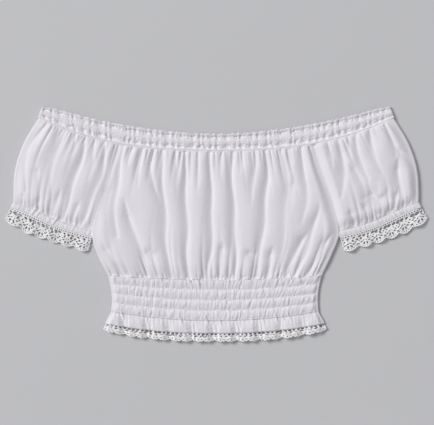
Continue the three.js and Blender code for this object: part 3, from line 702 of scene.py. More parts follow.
def sleeve_back(side, u, v):
    """The underside: shallow troughs where the other sleeve has its folds, and gathers at both ends."""
    plan = sleeve_plan(side)(u, v)
    x, y = plan[..., 0], plan[..., 1]
    share = trough_share(SLEEVE_FOLDS[-side], -x, y, SLEEVE_PUFF)
    neck = gather_troughs(x, v * SLEEVE_LONG, NECK_PITCH, NECK_BACK_SEED, 8, 30)
    cuff = gather_troughs(u * CUFF_WIDE, (1 - v) * SLEEVE_LONG, CUFF_PITCH, CUFF_BACK_SEED + side, 8, 26)
    dip = 0.8 * (1 - share) + 0.8 * neck + 0.9 * cuff
    return lifted(plan, np.minimum(dip, BACK_DIP) * (1 - ease((u - 0.9) / 0.1)))


def strip_plan(side):
    """The cuff strip, on straight lines from the gathering seam to the strip's lower edge."""
    seam, lower = cuff_seam(side), cuff_line(side, CUFF_STRIP)
    return between(lambda t: seam(t * CUFF_REACH), lambda t: lower(t * CUFF_REACH))


def strip_front(side, u, v):
    """The binding over the elastic: a low crown down it, and shallow gathers across it."""
    crown = np.clip(np.sin(np.pi * v), 0, 1) ** 0.6 * (1 - ease((u - 0.93) / 0.07))
    gather = gathers(u * CUFF_WIDE, CUFF_PITCH, CUFF_SEED + side) - 0.6
    z = strip_level(u) + crown * (0.9 + 0.8 * gather * swell(u, 0, 0, 0.04))
    return lifted(strip_plan(side)(u, v), z + cuff_tufts(u, v * CUFF_STRIP))


def strip_back(side, u, v):
    """The strip's underside: shallow gathers that end before its two ends."""
    gather = gathers(u * CUFF_WIDE, CUFF_PITCH, CUFF_BACK_SEED + side)
    return lifted(strip_plan(side)(u, v), 0.35 * (1 - gather) * swell(u, 0, 0, 0.04))


def neck_plan(u, w):
    """The casing, on straight lines from its seam at w = 0 to its frilled edge at w = 1."""
    seam_x = mix(-NECK_SEAM_HALF, NECK_SEAM_HALF, u)
    edge_x = mix(-NECK_EDGE_HALF, NECK_EDGE_HALF, u)
    seam = np.stack([seam_x, neck_seam_y(seam_x)], -1)
    edge = np.stack([edge_x, neck_edge_y(edge_x)], -1)
    return mix(seam, edge, w[..., None])


def neck_front(u, w):
    """The profile across the casing, rippled by the gathers, with a frilled upper edge. The gathers lean
    this way and that between the welt and the edge."""
    plan = neck_plan(u, w)
    x = plan[..., 0]
    places, heights, depths, opens = zip(*NECK_PROFILE)
    lean = 6.0 * wander(x / 120, 71) * (w - 0.1) + 3.0 * wander(x / 60 + 0.9 * w, 72)
    large = creases(x + lean, NECK_PITCH, NECK_SEED, eased(w, places, opens), 0.55)
    small = creases(x - lean, NECK_PITCH * 0.47, NECK_SEED + 2, 0.8)
    depth = eased(w, places, depths) * swell(u, 0.2, 0.2, 0.008)
    bumps = 0.9 - 1.7 * creases(x, NECK_PITCH, NECK_SEED, 1.2)
    bumps = bumps - 0.8 * creases(x, NECK_PITCH * 0.47, NECK_SEED + 2, 1.2)
    z = eased(w, places, heights) + 0.5 * wander(x / 40 + w, 73) - depth * (large + 0.42 * small)
    return lifted(moved_up(plan, NECK_EDGE_RIPPLE * w**4 * bumps), np.maximum(z, 2.2))


def neck_back(u, w):
    """The casing's underside: gathers that deepen towards the frilled edge, and two stitch rows."""
    plan = neck_plan(u, w)
    gather = gathers(plan[..., 0], NECK_PITCH, NECK_BACK_SEED)
    rows = bell(w - 0.2, 0.05) + bell(w - 0.63, 0.05)
    dip = (0.9 * (1 - gather) * (0.5 + 0.5 * w) + 0.5 * rows) * swell(u, 0.2, 0.2, 0.01)
    return lifted(moved_up(plan, NECK_EDGE_RIPPLE * w**4 * 1.2 * (gather - 0.55)), dip)


def waist_plan():
    """The shirring between its top and bottom rows, drawn in a little at both sides."""
    def side(s):
        third, two_thirds = (mix(WAIST_TOP[1], WAIST_BOTTOM[1], share) for share in (1 / 3, 2 / 3))
        middles = [(WAIST_NARROW + 1.6, third), (WAIST_NARROW, two_thirds)]
        rows = [WAIST_TOP[:2], *middles, WAIST_BOTTOM[:2]]
        return spline([(s * x + WAIST_OFFSET, y) for x, y in rows])

    return patch(arch(*WAIST_TOP), arch(*WAIST_BOTTOM), side(-1), side(1))


def band_gathers(x, band):
    """Gathers that lean one way on the left of the blouse and the other way on its right, and differ
    from one band of the shirring to the next. Towards the sides they are fewer and flatter."""
    share = band % 1
    row = np.floor(np.clip(band, 0, WAIST_BANDS - 0.001))
    steep = 1.5 + 4.0 * ease((x + 10) / 90) * (1 - 0.22 * row) + 4.0 * wander(x / 130 + 0.31 * row, 51)
    lean = steep * (share - 0.5) + 1.2 * wander(x / 25 + 0.7 * band, 53)
    run = creases(x + lean, WAIST_PITCH, WAIST_SEED, 0.7)
    own = creases(x + lean + 1.7 * row, WAIST_PITCH * 1.25, 60, 0.7)
    tiny = creases(x + lean - 2.1 * row, WAIST_PITCH * 0.55, 64, 0.8)
    run, own = run * (0.75 + wander(x / 90 + 0.9 * row, 57)), own * (0.75 - wander(x / 80 + row, 58))
    strong = 0.95 + 0.8 * wander(x / 70 + 0.53 * row, 55)
    sides = mix(0.4, 1, ease((x + 150) / 45)) * mix(0.7, 1, ease((140 - x) / 30))
    return 1 - (np.maximum(run, own) + 0.3 * tiny) * strong * sides


def waist_front(u, v):
    """Puffs between the stitch rows, each an arched band that is fullest just under its upper row, and
    gathers across it that the rows pinch."""
    plan = waist_plan()(u, v)
    x, down = plan[..., 0], v * WAIST_DEEP
    jagged = 0.07 * lattice(x / 3.4, v * 9, 47) + 0.05 * wander(x / 60 + v, 49)
    band = np.clip(v * WAIST_BANDS + jagged * swell(v, 0, 0, 0.06), 0, WAIST_BANDS - 0.001)
    puff = np.abs(np.sin(np.pi * (band % 1) ** 0.7)) ** 0.7
    gather = band_gathers(x, band)
    full = 2.2 + 1.35 * gather + 0.6 * lattice(x / 4, band * 2, 48)
    rise = mix(0.6 * gather, full, puff)
    rise = rise + 1.2 * (1 - ease(down / 3)) + 0.9 * ease((down - WAIST_DEEP) / 3 + 1)
    rise = rise + 2.8 * tufts(x, down, WAIST_TUFTS) + 2.2 * tufts(x, down - WAIST_DEEP, FRILL_TUFTS)
    return lifted(plan, FRONT_TOP + rise * swell(u, 0.1, 0.1, 0.02))


def waist_back(u, v):
    """The shirring's underside: flatter puffs, with gathers that shift from band to band."""
    plan = waist_plan()(u, v)
    band = v * WAIST_BANDS
    puff = np.abs(np.sin(np.pi * band)) ** 0.6
    gather = gathers(plan[..., 0] + 1.2 * np.floor(band), WAIST_PITCH, WAIST_BACK_SEED)
    return lifted(plan, (BACK_DIP - puff * (0.3 + 0.95 * gather)) * swell(u, 0.1, 0.1, 0.02))


def hem_wave(x):
    """The frill's pleats at x: each rises within 3 mm, is flat, and falls within 8 mm, with a low ridge
    in the groove between two."""
    steps = [np.clip((x - at + 0.85 * half) / 3, 0, 1) * np.clip((at + 0.8 * half - x) / 8, 0, 1)
             for at, half in HEM_WAVES]
    middles = [(a[0] + b[0]) / 2 + 0.5 for a, b in zip(HEM_WAVES, HEM_WAVES[1:])]
    ridges = np.max([bell(x - at, 1.7) for at in middles], 0) * (0.4 + 0.3 * wander(x / 70, 86))
    return np.maximum(np.max(steps, 0) * (0.9 + 0.12 * wander(x / 110, 84)), ridges)


def hem_level(x, share):
    """The level of the frill at x, at a share of the pleats' height."""
    return FRONT_TOP - 0.1 + HEM_WAVE_HEIGHT * hem_wave(x) * share


def frill_plan():
    """The frill, on straight lines from the last stitch row to the lace."""
    return between(arch(*WAIST_BOTTOM), arch(*HEM_SEAM, HEM_SEAM_POWER))


def frill_front(u, v):
    """Pleats that open out below the last stitch row, with short gathers under it."""
    plan = frill_plan()(u, v)
    x, down = plan[..., 0], v * FRILL_DEEP
    lean = (4.0 * wander(x / 90, 81) + 2.5) * (1 - v) + 1.2 * wander(x / 40 + v, 82)
    short = gather_troughs(x, down, WAIST_PITCH, WAIST_SEED, 3, 13)
    share = mix(0.15, 1, ease(v * 1.5))
    z = hem_level(x + lean, share) + mix(0.6, 1.3, ease(v * 6)) - 1.3 * short * ease(v * 9)
    z = z - 0.5 * ease((v - 0.9) / 0.1) + 0.35 * undulation(x, v * 20, 83, 22) * ease(v * 3)
    z = z + 2.2 * tufts(x, down, FRILL_TUFTS)
    return lifted(plan, mix(FRONT_TOP, z, swell(u, 0.1, 0.1, 0.02)))


def frill_back(u, v):
    """The frill's underside: gathers under the last row, and shallow hollows between the pleats."""
    plan = frill_plan()(u, v)
    gather = gather_troughs(plan[..., 0], v * FRILL_DEEP, WAIST_PITCH, WAIST_BACK_SEED, 8, 20)
    return lifted(plan, 0.9 * gather + 0.5 * (1 - hem_wave(BACK_SHIFT - plan[..., 0])) * v)


def hem_lace_plan(u, v):
    """The edging below the frill. Its tips hang lower at each scallop and under each pleat."""
    point = between(arch(*HEM_SEAM, HEM_SEAM_POWER), arch(*HEM_TIP, HEM_TIP_POWER))(u, v)
    drop = 2.0 * np.abs(np.sin(np.pi * HEM_SCALLOPS * u)) ** 0.8 - 0.5
    drop = drop + 0.9 * hem_wave(point[..., 0]) - 0.7
    return moved_up(point, -drop * v * v)


def hem_lace_front(u, v):
    """It follows the pleats, a little below the frill at its seam, and waves once in each scallop."""
    plan = hem_lace_plan(u, v)
    wave = 0.4 * np.sin(2 * np.pi * HEM_SCALLOPS * u) * v
    return lifted(plan, hem_level(plan[..., 0], mix(1, 0.9, v)) - 0.5 * (1 - ease(v * 4)) + wave)


def hem_lace_back(u, v):
    """Its underside, with the same shallow hollows as the frill's."""
    plan = hem_lace_plan(u, v)
    return lifted(plan, 0.4 * (1 - hem_wave(BACK_SHIFT - plan[..., 0])) * v)


def cuff_lace_plan(side, u, v):
    """From the strip's lower edge to the tips, drawn up between the scallops."""
    start, tip = cuff_line(side, CUFF_STRIP)(u), lace_tips(side)(u)
    long = np.linalg.norm(tip - start, axis=-1)
    notch = 1 - np.abs(np.sin(np.pi * CUFF_SCALLOPS * u))
    return start + (tip - start) * (v * (1 - notch * 4.2 * ease((v - 0.4) / 0.6) / long))[..., None]


def cuff_lace_front(side, u, v):
    """From the strip's level down to a gentle wave across the scallops, where the gathers run out."""
    wave = 0.5 - 0.5 * np.cos(2 * np.pi * (CUFF_SCALLOPS - 1) * u + 0.6)
    heading = mix(FRONT_TOP + 0.3, FOLD_TOP - 0.5, ease(u / 0.2)) * (1 - ease((u - 0.93) / 0.07))
    rest = 2.7 + 2.6 * wave * ease(v * 1.2) * swell(u, 0.1, 0.1, 0.08)
    gather = 0.5 * gathers(u * CUFF_WIDE, CUFF_PITCH, CUFF_SEED + side) * (1 - v)
    z = mix(np.maximum(heading, rest), rest, ease(v / 0.35)) + gather
    return lifted(cuff_lace_plan(side, u, v), z)


def cuff_lace_back(side, u, v):
    """The underside: seven low waves that grow towards the tips."""
    return lifted(cuff_lace_plan(side, u, v), 0.25 * (1 - np.cos(2 * np.pi * 7 * u)) * v)


# Lace patterns. Each gives how far inside the thread a place is, in millimetres, with what is below zero
# open, and how far the thread stands up. s runs along the lace and t down from its heading.

def rounds(s, t, pitch, shift, level, long, wide, lean=0.0):
    """A row of oval openings, one at the middle of each pitch: outside them it is positive."""
    a = (s + shift) % pitch - pitch / 2
    b = t - level
    along, across = a * math.sin(lean) + b * math.cos(lean), a * math.cos(lean) - b * math.sin(lean)
    return (np.sqrt((along / long) ** 2 + (across / wide) ** 2) - 1) * min(long, wide)


def uneven(s, t, seed):
    """The pattern's places shifted a little, as in lace that has been washed and gathered."""
    down = 0.7 * wander(s / 45 + 0.7, seed + 1) * ease(t / 6)
    return s + 0.9 * wander(s / 60 + 0.13 * t, seed), t + down


def along_row(s, pitch, seed):
    """One smooth random height for each opening of a row."""
    return lattice(s / pitch, 0 * s, seed)


def cuff_pattern(u, v):
    """Heading with slanted eyelets, a row of wide slots, a net of round openings, a thick trail arching
    over each scallop, a fan of leaf openings under the arch, pin holes along the border, and picots."""
    scallop, deep = CUFF_LACE_LONG / CUFF_SCALLOPS, CUFF_LACE_DEEP
    edge = v * deep
    s, t = uneven(u * CUFF_LACE_LONG, edge, 91)
    turn = 2 * np.pi * s / scallop
    third, quarter, sixth = scallop / 3, scallop / 4, scallop / 6
    net = [
        rounds(s, t, sixth, 0, 2.6, 1.2, 0.8, 0.6),
        rounds(s, t, third, 0, 6.4, 1.5, 2.5, 0.35) + 0.8 * along_row(s, third, 93),
        rounds(s, t, quarter, quarter / 2, 10.3, 1.7, 1.5, 0.5) + 0.8 * along_row(s, quarter, 94),
        rounds(s, t, quarter, 0, 13.4, 1.1, 1.9, -0.3) + 0.4 * along_row(s, quarter, 96),
    ]
    trail = 1.6 - np.abs(t - 14.0 - 2.9 * np.cos(turn))
    ground = np.maximum(np.min(net, 0), trail)
    leaves = [(-1.1, 6.4, 1.9, 1.1), (-0.4, 6.0, 2.4, 1.3), (0.4, 6.0, 2.4, 1.3), (1.1, 6.4, 1.9, 1.1)]
    fan = [rounds(s, t, scallop, -far * math.sin(lean), 13.0 + far * math.cos(lean), long, wide, lean)
           for lean, far, long, wide in leaves]
    fan.append(rounds(s, t, scallop, scallop / 2, 20.2, 1.6, 1.7))
    border = rounds(s, edge, sixth, 0, deep - 2.6, 0.7, 1.0)
    ground = np.minimum(ground, np.minimum(np.min(fan, 0), border))
    picot = deep - 0.9 + 1.3 * np.sqrt(np.abs(np.sin(np.pi * s / sixth)))
    relief = 0.9 * ease(trail / 1.2) + 0.4 * ease(edge - deep + 2)
    return np.minimum(ground, picot - edge), relief


def hem_pattern(u, v):
    """Heading, a row of uneven oval openings that are widest in the frill's grooves, slits slanting both
    ways, a thick waving trail, small slits under it, and picots."""
    scallop, deep = HEM_LACE_LONG / HEM_SCALLOPS, HEM_LACE_DEEP
    edge = v * deep
    s, t = uneven(u * HEM_LACE_LONG, edge, 95)
    third = scallop / 3
    groove = 1 - hem_wave(s - HEM_LACE_LONG / 2 + WAIST_OFFSET)
    upper = [
        rounds(s, t, 6.2, 0, 1.9, 1.2, 1.8) - 0.35 * groove + 0.6 * along_row(s, 6.2, 97),
        rounds(s, t, 7.1, 1.6, 5.0, 0.8, 1.9, 0.5) + 0.4 * along_row(s, 7.1, 98),
        rounds(s, t, 8.3, 5.1, 4.9, 0.8, 1.7, -0.6) + 0.4 * along_row(s, 8.3, 99),
    ]
    trail = 1.05 - np.abs(t - 7.3 - 1.2 * np.cos(2 * np.pi * s / scallop))
    ground = np.maximum(np.min(upper, 0), trail)
    lower = rounds(s, t, third, 0, 9.4, 0.55, 1.3)
    ground = np.minimum(ground, np.maximum(lower, trail))
    picot = deep - 0.8 + 1.4 * np.sqrt(np.abs(np.sin(np.pi * s / third)))
    return np.minimum(ground, picot - edge), 0.5 * ease(trail / 0.8)


# Meshes

def openwork(points, field):
    """Cells of the grid that hold thread, all joined to the heading, and the points with those beside an
    opening moved along the slope of the field onto its zero line."""
    kept = field[:-1, :-1] + field[1:, :-1] + field[:-1, 1:] + field[1:, 1:] > 0
    for _ in range(4):
        falling = kept[:-1, :-1] & kept[1:, 1:] & ~kept[:-1, 1:] & ~kept[1:, :-1]
        rising = kept[:-1, 1:] & kept[1:, :-1] & ~kept[:-1, :-1] & ~kept[1:, 1:]
        kept[:-1, 1:] |= falling
        kept[:-1, :-1] |= rising
    joined = np.zeros_like(kept)
    joined[0] = kept[0]
    count = -1
    while joined.sum() > count:
        count = joined.sum()
        joined[1:] |= joined[:-1]
        joined[:-1] |= joined[1:]
        joined[:, 1:] |= joined[:, :-1]
        joined[:, :-1] |= joined[:, 1:]
        joined &= kept
    around = np.pad(joined.astype(int), 1, mode="edge")
    around = around[:-1, :-1] + around[1:, :-1] + around[:-1, 1:] + around[1:, 1:]
    beside = (around > 0) & (around < 4)
    slopes = np.gradient(field)
    square = slopes[0] ** 2 + slopes[1] ** 2 + 1e-6
    for slope, step in zip(slopes, np.gradient(points, axis=(0, 1))):
        share = np.where(beside, np.clip(-field * slope / square, -0.45, 0.45), 0)
        points = points + step * share[..., None]
    return joined, points


def wall_faces(kept):
    """Quads of an upper skin, a lower skin and the rims between them, for the kept cells of a grid."""
    rows, columns = kept.shape
    number = np.arange((rows + 1) * (columns + 1)).reshape(rows + 1, columns + 1)
    below = number.size
    a, b, c, d = number[:-1, :-1], number[:-1, 1:], number[1:, 1:], number[1:, :-1]
    skins = [np.stack([a, d, c, b], -1)[kept], np.stack([a, b, c, d], -1)[kept] + below]
    ring = np.pad(kept, 1)
    sides = [(a, b, ring[:-2, 1:-1]), (d, a, ring[1:-1, :-2]),
             (c, d, ring[2:, 1:-1]), (b, c, ring[1:-1, 2:])]
    rims = []
    for start, end, beyond in sides:
        edge = kept & ~beyond
        first, second = start[edge], end[edge]
        rims.append(np.stack([first, second, second + below, first + below], -1))
    return np.concatenate(skins), np.concatenate(rims)


def placed(name, mesh):
    """An object of the mesh, at the origin, in the scene."""
    thing = bpy.data.objects.new(name, mesh)
    bpy.context.scene.collection.objects.link(thing)
    return thing


def cloth(name, outer, thickness, long, reverse=False, field=None):
    """A closed thin shell: the outer grid, an inner one set back along its normals, and rims between. u
    runs along +X and v along -Y where the cloth faces up, and reverse turns the columns round. Its UV is
    in metres, over the long side of the cut cloth."""
    rows, columns = outer.shape[:2]
    deep = np.linalg.norm(np.diff(outer, axis=0), axis=-1).sum(0).mean()
    u, v = grid(columns, rows)
    if reverse:
        outer = outer[:, ::-1]
        field = None if field is None else field[:, ::-1]
    kept = np.ones((rows - 1, columns - 1), bool)
    if field is not None:
        kept, outer = openwork(outer, field)
    down, along = np.gradient(outer, axis=(0, 1))
    normal = np.cross(down, along)
    normal = normal / np.maximum(np.linalg.norm(normal, axis=-1, keepdims=True), 1e-9)
    inner = outer - thickness * normal
    points = np.concatenate([outer.reshape(-1, 3), inner.reshape(-1, 3)])
    points[:, :2] += MIDDLE
    flat = np.tile(np.stack([u * long, v * deep], -1).reshape(-1, 2), (2, 1))
    skins, rims = wall_faces(kept)
    faces = np.concatenate([skins, rims])
    used, faces = np.unique(faces, return_inverse=True)
    faces = faces.reshape(-1, 4)
    mesh = bpy.data.meshes.new(name)
    mesh.vertices.add(len(used))
    mesh.vertices.foreach_set("co", (points[used] * MM).ravel())
    mesh.loops.add(faces.size)
    mesh.loops.foreach_set("vertex_index", faces.ravel())
    mesh.polygons.add(len(faces))
    mesh.polygons.foreach_set("loop_start", np.arange(0, faces.size, 4))
    mesh.polygons.foreach_set("use_smooth", np.arange(len(faces)) < len(skins))
    layer = mesh.uv_layers.new(name="Cloth")
    layer.data.foreach_set("uv", (flat[used][faces.ravel()] * MM).ravel())
    mesh.update(calc_edges=True)
    mesh.validate()
    return placed(name, mesh)


def stitch_rows(name, rows, length, gap, thickness):
    """One small pointed capsule of thread for each stitch. A row is a list of points in millimetres, and
    the stitches follow its arc length."""
    centres, runs = [], []
    for row in rows:
        steps = np.linalg.norm(np.diff(row, axis=0), axis=-1)
        far = np.concatenate([[0], np.cumsum(steps)])
        places = np.arange(gap, far[-1] - length, length + gap)
        start, end = (np.stack([np.interp(at, far, row[:, k]) for k in range(3)], -1)
                      for at in (places, places + length))
        centres.append((start + end) / 2)
        runs.append(end - start)
    centre, run = np.concatenate(centres), unit(np.concatenate(runs))
    across = unit(np.cross([0, 0, 1.0], run))
    up = np.cross(run, across)
    turns = np.arange(CAPSULE_SIDES) * 2 * np.pi / CAPSULE_SIDES
    half = thickness / 2
    shape = np.array([(reach * length, girth * half * np.cos(turn), girth * half * np.sin(turn))
                      for reach, girth in CAPSULE for turn in turns])
    points = centre[:, None] + (shape[None, :, :1] * run[:, None] + shape[None, :, 1:2] * across[:, None]
                                + shape[None, :, 2:] * up[:, None])
    points = points.reshape(-1, 3)
    points[:, :2] += MIDDLE
    number = np.arange(len(shape)).reshape(-1, CAPSULE_SIDES)
    beside = np.roll(number, -1, 1)
    side = np.stack([number[:-1], beside[:-1], beside[1:], number[1:]], -1)
    faces = [*side.reshape(-1, 4).tolist(), number[0][::-1].tolist(), number[-1].tolist()]
    starts = range(0, len(points), len(shape))
    mesh = bpy.data.meshes.new(name)
    mesh.from_pydata((points * MM).tolist(), [],
                     [[k + start for k in face] for start in starts for face in faces])
    mesh.polygons.foreach_set("use_smooth", np.ones(len(mesh.polygons), bool))
    mesh.update()
    return placed(name, mesh)


# Materials

def linear(colour):
    """An sRGB hex colour as linear red, green, blue and alpha."""
    parts = [int(colour[k:k + 2], 16) / 255 for k in (1, 3, 5)]
    return (*[c / 12.92 if c <= 0.04045 else ((c + 0.055) / 1.055) ** 2.4 for c in parts], 1.0)


def add(tree, kind, inputs=None, **settings):
    """A node with its settings, its input values and the sockets linked into it."""
    node = tree.nodes.new(kind)
    for key, value in settings.items():
        setattr(node, key, value)
    for key, value in (inputs or {}).items():
        if isinstance(value, bpy.types.NodeSocket):
            tree.links.new(value, node.inputs[key])
        else:
            node.inputs[key].default_value = value
    return node


def wave_scale(spacing):
    """The scale at which a wave texture repeats over a spacing, as its phase is 20 times the place."""
    return 2 * math.pi / 20 / spacing


def new_material(name, colour, darker, cells_per_metre, coordinate, roughness, sheen):
    """A material whose colour drifts slowly between two near shades. Gives it with its tree, its surface
    and the coordinate that its patterns are laid on."""
    material = bpy.data.materials.new(name)
    material.use_nodes = True
    tree = material.node_tree
    surface = tree.nodes["Principled BSDF"]
    surface.inputs["Roughness"].default_value = roughness
    surface.inputs["Specular IOR Level"].default_value = 0.35
    surface.inputs["Sheen Weight"].default_value = sheen
    surface.inputs["Sheen Roughness"].default_value = 0.5
    here = add(tree, "ShaderNodeTexCoord").outputs[coordinate]
    cloud = add(tree, "ShaderNodeTexNoise", {"Vector": here, "Scale": cells_per_metre, "Detail": 3.0})
    dark, bright = (*[part * darker for part in colour], 1.0), (*colour, 1.0)
    shades = add(tree, "ShaderNodeMix", {0: cloud.outputs["Fac"], 6: dark, 7: bright}, data_type="RGBA")
    tree.links.new(shades.outputs[2], surface.inputs["Base Color"])
    return material, tree, surface, here


def cotton_batiste(scene):
    """Plain-woven cotton batiste, bleached: matt, with a faint sheen at grazing angles, and a little
    crumpled. Its threads are 0.3 mm apart and are drawn as far apart as the weave setting says, so that
    they show."""
    material, tree, surface, here = new_material(
        "cotton_batiste", scene.blouse_colours.cotton, 0.955, 14.0, "UV", 0.88, 0.12)
    run = {"Vector": here, "Scale": wave_scale(scene.blouse_sizes.weave), "Distortion": 0.6}
    warp, weft = (add(tree, "ShaderNodeTexWave", run, bands_direction=way) for way in "XY")
    weave = add(tree, "ShaderNodeMath", {0: warp.outputs["Fac"], 1: weft.outputs["Fac"]},
                operation="MULTIPLY")
    crumple = add(tree, "ShaderNodeTexNoise", {"Vector": here, "Scale": 1 / CRUMPLE, "Detail": 4.0})
    soft = add(tree, "ShaderNodeBump", {
        "Height": crumple.outputs["Fac"], "Strength": 0.35, "Distance": 0.0009})
    woven = add(tree, "ShaderNodeBump", {
        "Height": weave.outputs[0], "Strength": 0.3, "Distance": 0.00012,
        "Normal": soft.outputs["Normal"]})
    tree.links.new(woven.outputs["Normal"], surface.inputs["Normal"])
    return material


def lace_cotton(scene):
    """Twisted cotton lace thread, bleached whiter than the cloth: matt and ropy. Its twist is 0.5 mm
    long and is drawn longer, so that it shows."""
    material, tree, surface, here = new_material(
        "lace_cotton", scene.blouse_colours.lace, 0.95, 260.0, "UV", 0.8, 0.1)
    twist = add(tree, "ShaderNodeTexWave", {
        "Vector": here, "Scale": wave_scale(LACE_TWIST), "Distortion": 4.0, "Detail": 2.0,
        "Detail Scale": 1.5}, bands_direction="DIAGONAL")
    ropy = add(tree, "ShaderNodeBump", {
        "Height": twist.outputs["Fac"], "Strength": 0.5, "Distance": 0.00025})
    tree.links.new(ropy.outputs["Normal"], surface.inputs["Normal"])
    return material


def sewing_thread(scene):
    """Mercerised cotton sewing thread: smoother than the cloth, so a stitch takes a small highlight."""
    material, tree, surface, here = new_material(
        "sewing_thread", scene.blouse_colours.thread, 0.92, 400.0, "Object", 0.5, 0.05)
    ply = add(tree, "ShaderNodeTexWave", {"Vector": here, "Scale": wave_scale(THREAD_TWIST)},
              bands_direction="DIAGONAL")
    twisted = add(tree, "ShaderNodeBump", {
        "Height": ply.outputs["Fac"], "Strength": 0.3, "Distance": 0.0001})
    tree.links.new(twisted.outputs["Normal"], surface.inputs["Normal"])
    return material


def painted_board(scene):
    """A matt painted board, with a faint unevenness left by the roller."""
    material, tree, surface, here = new_material(
        "painted_board", scene.blouse_colours.floor, 0.985, 9.0, "Object", 0.9, 0.0)
    grain = add(tree, "ShaderNodeTexNoise", {"Vector": here, "Scale": 1 / GRAIN, "Detail": 2.0})
    rolled_on = add(tree, "ShaderNodeBump", {
        "Height": grain.outputs["Fac"], "Strength": 0.1, "Distance": 0.0003})
    tree.links.new(rolled_on.outputs["Normal"], surface.inputs["Normal"])
    return material


def finish_of(maker):
    """The finish that a maker function gives, made on its first use and found by its name after that."""
    return bpy.data.materials.get(maker.__name__) or maker(bpy.context.scene)


# Settings

def length(name, description, default, least, most):
    """A length in metres that a user can change."""
    return bpy.props.FloatProperty(name=name, description=description, default=default,
                                   min=least, max=most, unit="LENGTH", precision=5)


def shade(name, description, colour):
    """A colour that a user can change, from its sRGB hex value."""
    return bpy.props.FloatVectorProperty(name=name, description=description, default=linear(colour)[:3],
                                         subtype="COLOR", size=3, min=0, max=1)


class BlouseSizes(bpy.types.PropertyGroup):
    """Sizes of the cloth and its stitches"""

    cloth: length("Cloth", "Thickness of the cotton with its fold of air", 0.0005, 0.0002, 0.001)
    lace: length("Lace", "Thickness of the lace", 0.0006, 0.0003, 0.001)
    stitch: length("Stitch", "Length of one stitch", 0.0021, 0.001, 0.004)
    thread: length("Thread", "Thickness of the sewing thread", 0.0005, 0.0003, 0.001)
    weave: length("Weave", "Spacing at which the threads are drawn", 0.0008, 0.0003, 0.002)


class BlouseColours(bpy.types.PropertyGroup):
    """Colours of the blouse and the floor"""

    cotton: shade("Cotton", "Colour of the cloth", "#F1EEF3")
    lace: shade("Lace", "Colour of the lace", "#FCFBFD")
    thread: shade("Thread", "Colour of the stitches", "#F7F6F8")
    floor: shade("Floor", "Colour of the floor", "#D3D3D5")


# Pieces

def declare(thing, node, maker):
    """Gives a piece its finish, hides the CAD node that it stands for, and attaches it to the root body.
    """
    thing.data.materials.append(finish_of(maker))
    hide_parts(node)
    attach(thing, "root")


def sewn(name, node, points, long, reverse=False):
    """A piece of batiste over the points."""
    thing = cloth(name, points, bpy.context.scene.blouse_sizes.cloth / MM, long, reverse)
    declare(thing, node, cotton_batiste)


def edged(name, node, points, pattern, raised, long, reverse):
    """A piece of lace over the points: open where the pattern's field is below zero, and raised or not
    where its threads stand up."""
    field, relief = pattern
    points[..., 2] += relief * raised
    thing = cloth(name, points, bpy.context.scene.blouse_sizes.lace / MM, long, reverse, field)
    declare(thing, node, lace_cotton)


class Undoable:
    """What every operator here has: it is listed with its settings and can be undone"""

    bl_options = {"REGISTER", "UNDO"}


class BLOUSE_OT_front_panel(Undoable, bpy.types.Operator):
    """Adds the gathered front between the raglan seams, the neck casing and the waist"""

    bl_idname = "blouse.front_panel"
    bl_label = "Front Panel"

    def execute(self, context):
        u, v = grid(320, 134)
        below = ease((v[:, 0] - RAGLAN_SHARE + 0.03) / 0.06)
        radius, low = mix(RAGLAN_ROLL, 1.9, below), mix(RAGLAN_LOW, SEAM_LOW, below)
        points = rolled(front_form(u, v), radius, low)
        sewn("front_cloth", "front_panel", points, BODY_CUT)
        return {"FINISHED"}


class BLOUSE_OT_back_panel(Undoable, bpy.types.Operator):
    """Adds the back, which lies flat under the front"""

    bl_idname = "blouse.back_panel"
    bl_label = "Back Panel"

    def execute(self, context):
        sewn("back_cloth", "back_panel", back_form(*grid(150, 60)), BODY_CUT,
             reverse=True)
        return {"FINISHED"}


class BLOUSE_OT_sleeves(Undoable, bpy.types.Operator):
    """Adds both puffed raglan sleeves, each folded over at its outer edge"""

    bl_idname = "blouse.sleeves"
    bl_label = "Sleeves"

    def execute(self, context):
        rows = 116
        for side, name in SIDES:
            front, back = sleeve_front(side, *grid(116, rows)), sleeve_back(side, *grid(34, rows))
            whole = folded_over(front, back, sleeve_outline(side), np.linspace(0, 1, rows))
            whole = rolled(whole, RAGLAN_ROLL, RAGLAN_LOW, ends=(0,))
            sewn(f"sleeve_cloth_{name}", f"sleeve_{name}", whole, SLEEVE_CUT,
                 reverse=side < 0)
        return {"FINISHED"}


class BLOUSE_OT_neck_casing(Undoable, bpy.types.Operator):
    """Adds the neck casing, gathered on its elastic under a frilled header, front and back"""

    bl_idname = "blouse.neck_casing"
    bl_label = "Neck Casing"

    def execute(self, context):
        u, v = grid(600, 29)
        sewn("neck_cloth_front", "neck_casing_front", rolled(neck_front(u, 1 - v), 1.6, 1.0), NECK_CUT)
        u, v = grid(340, 16)
        sewn("neck_cloth_back", "neck_casing_back", neck_back(u, 1 - v), NECK_CUT,
             reverse=True)
        return {"FINISHED"}


class BLOUSE_OT_waist_shirring(Undoable, bpy.types.Operator):
    """Adds the shirred waist: four puffed bands between five rows of elastic stitching"""

    bl_idname = "blouse.waist_shirring"
    bl_label = "Waist Shirring"

    def execute(self, context):
        points = rolled(waist_front(*grid(460, 57)), 1.8, SEAM_LOW)
        sewn("waist_cloth_front", "waist_shirring_front", points, BODY_CUT)
        sewn("waist_cloth_back", "waist_shirring_back", waist_back(*grid(240, 29)), BODY_CUT,
             reverse=True)
        return {"FINISHED"}


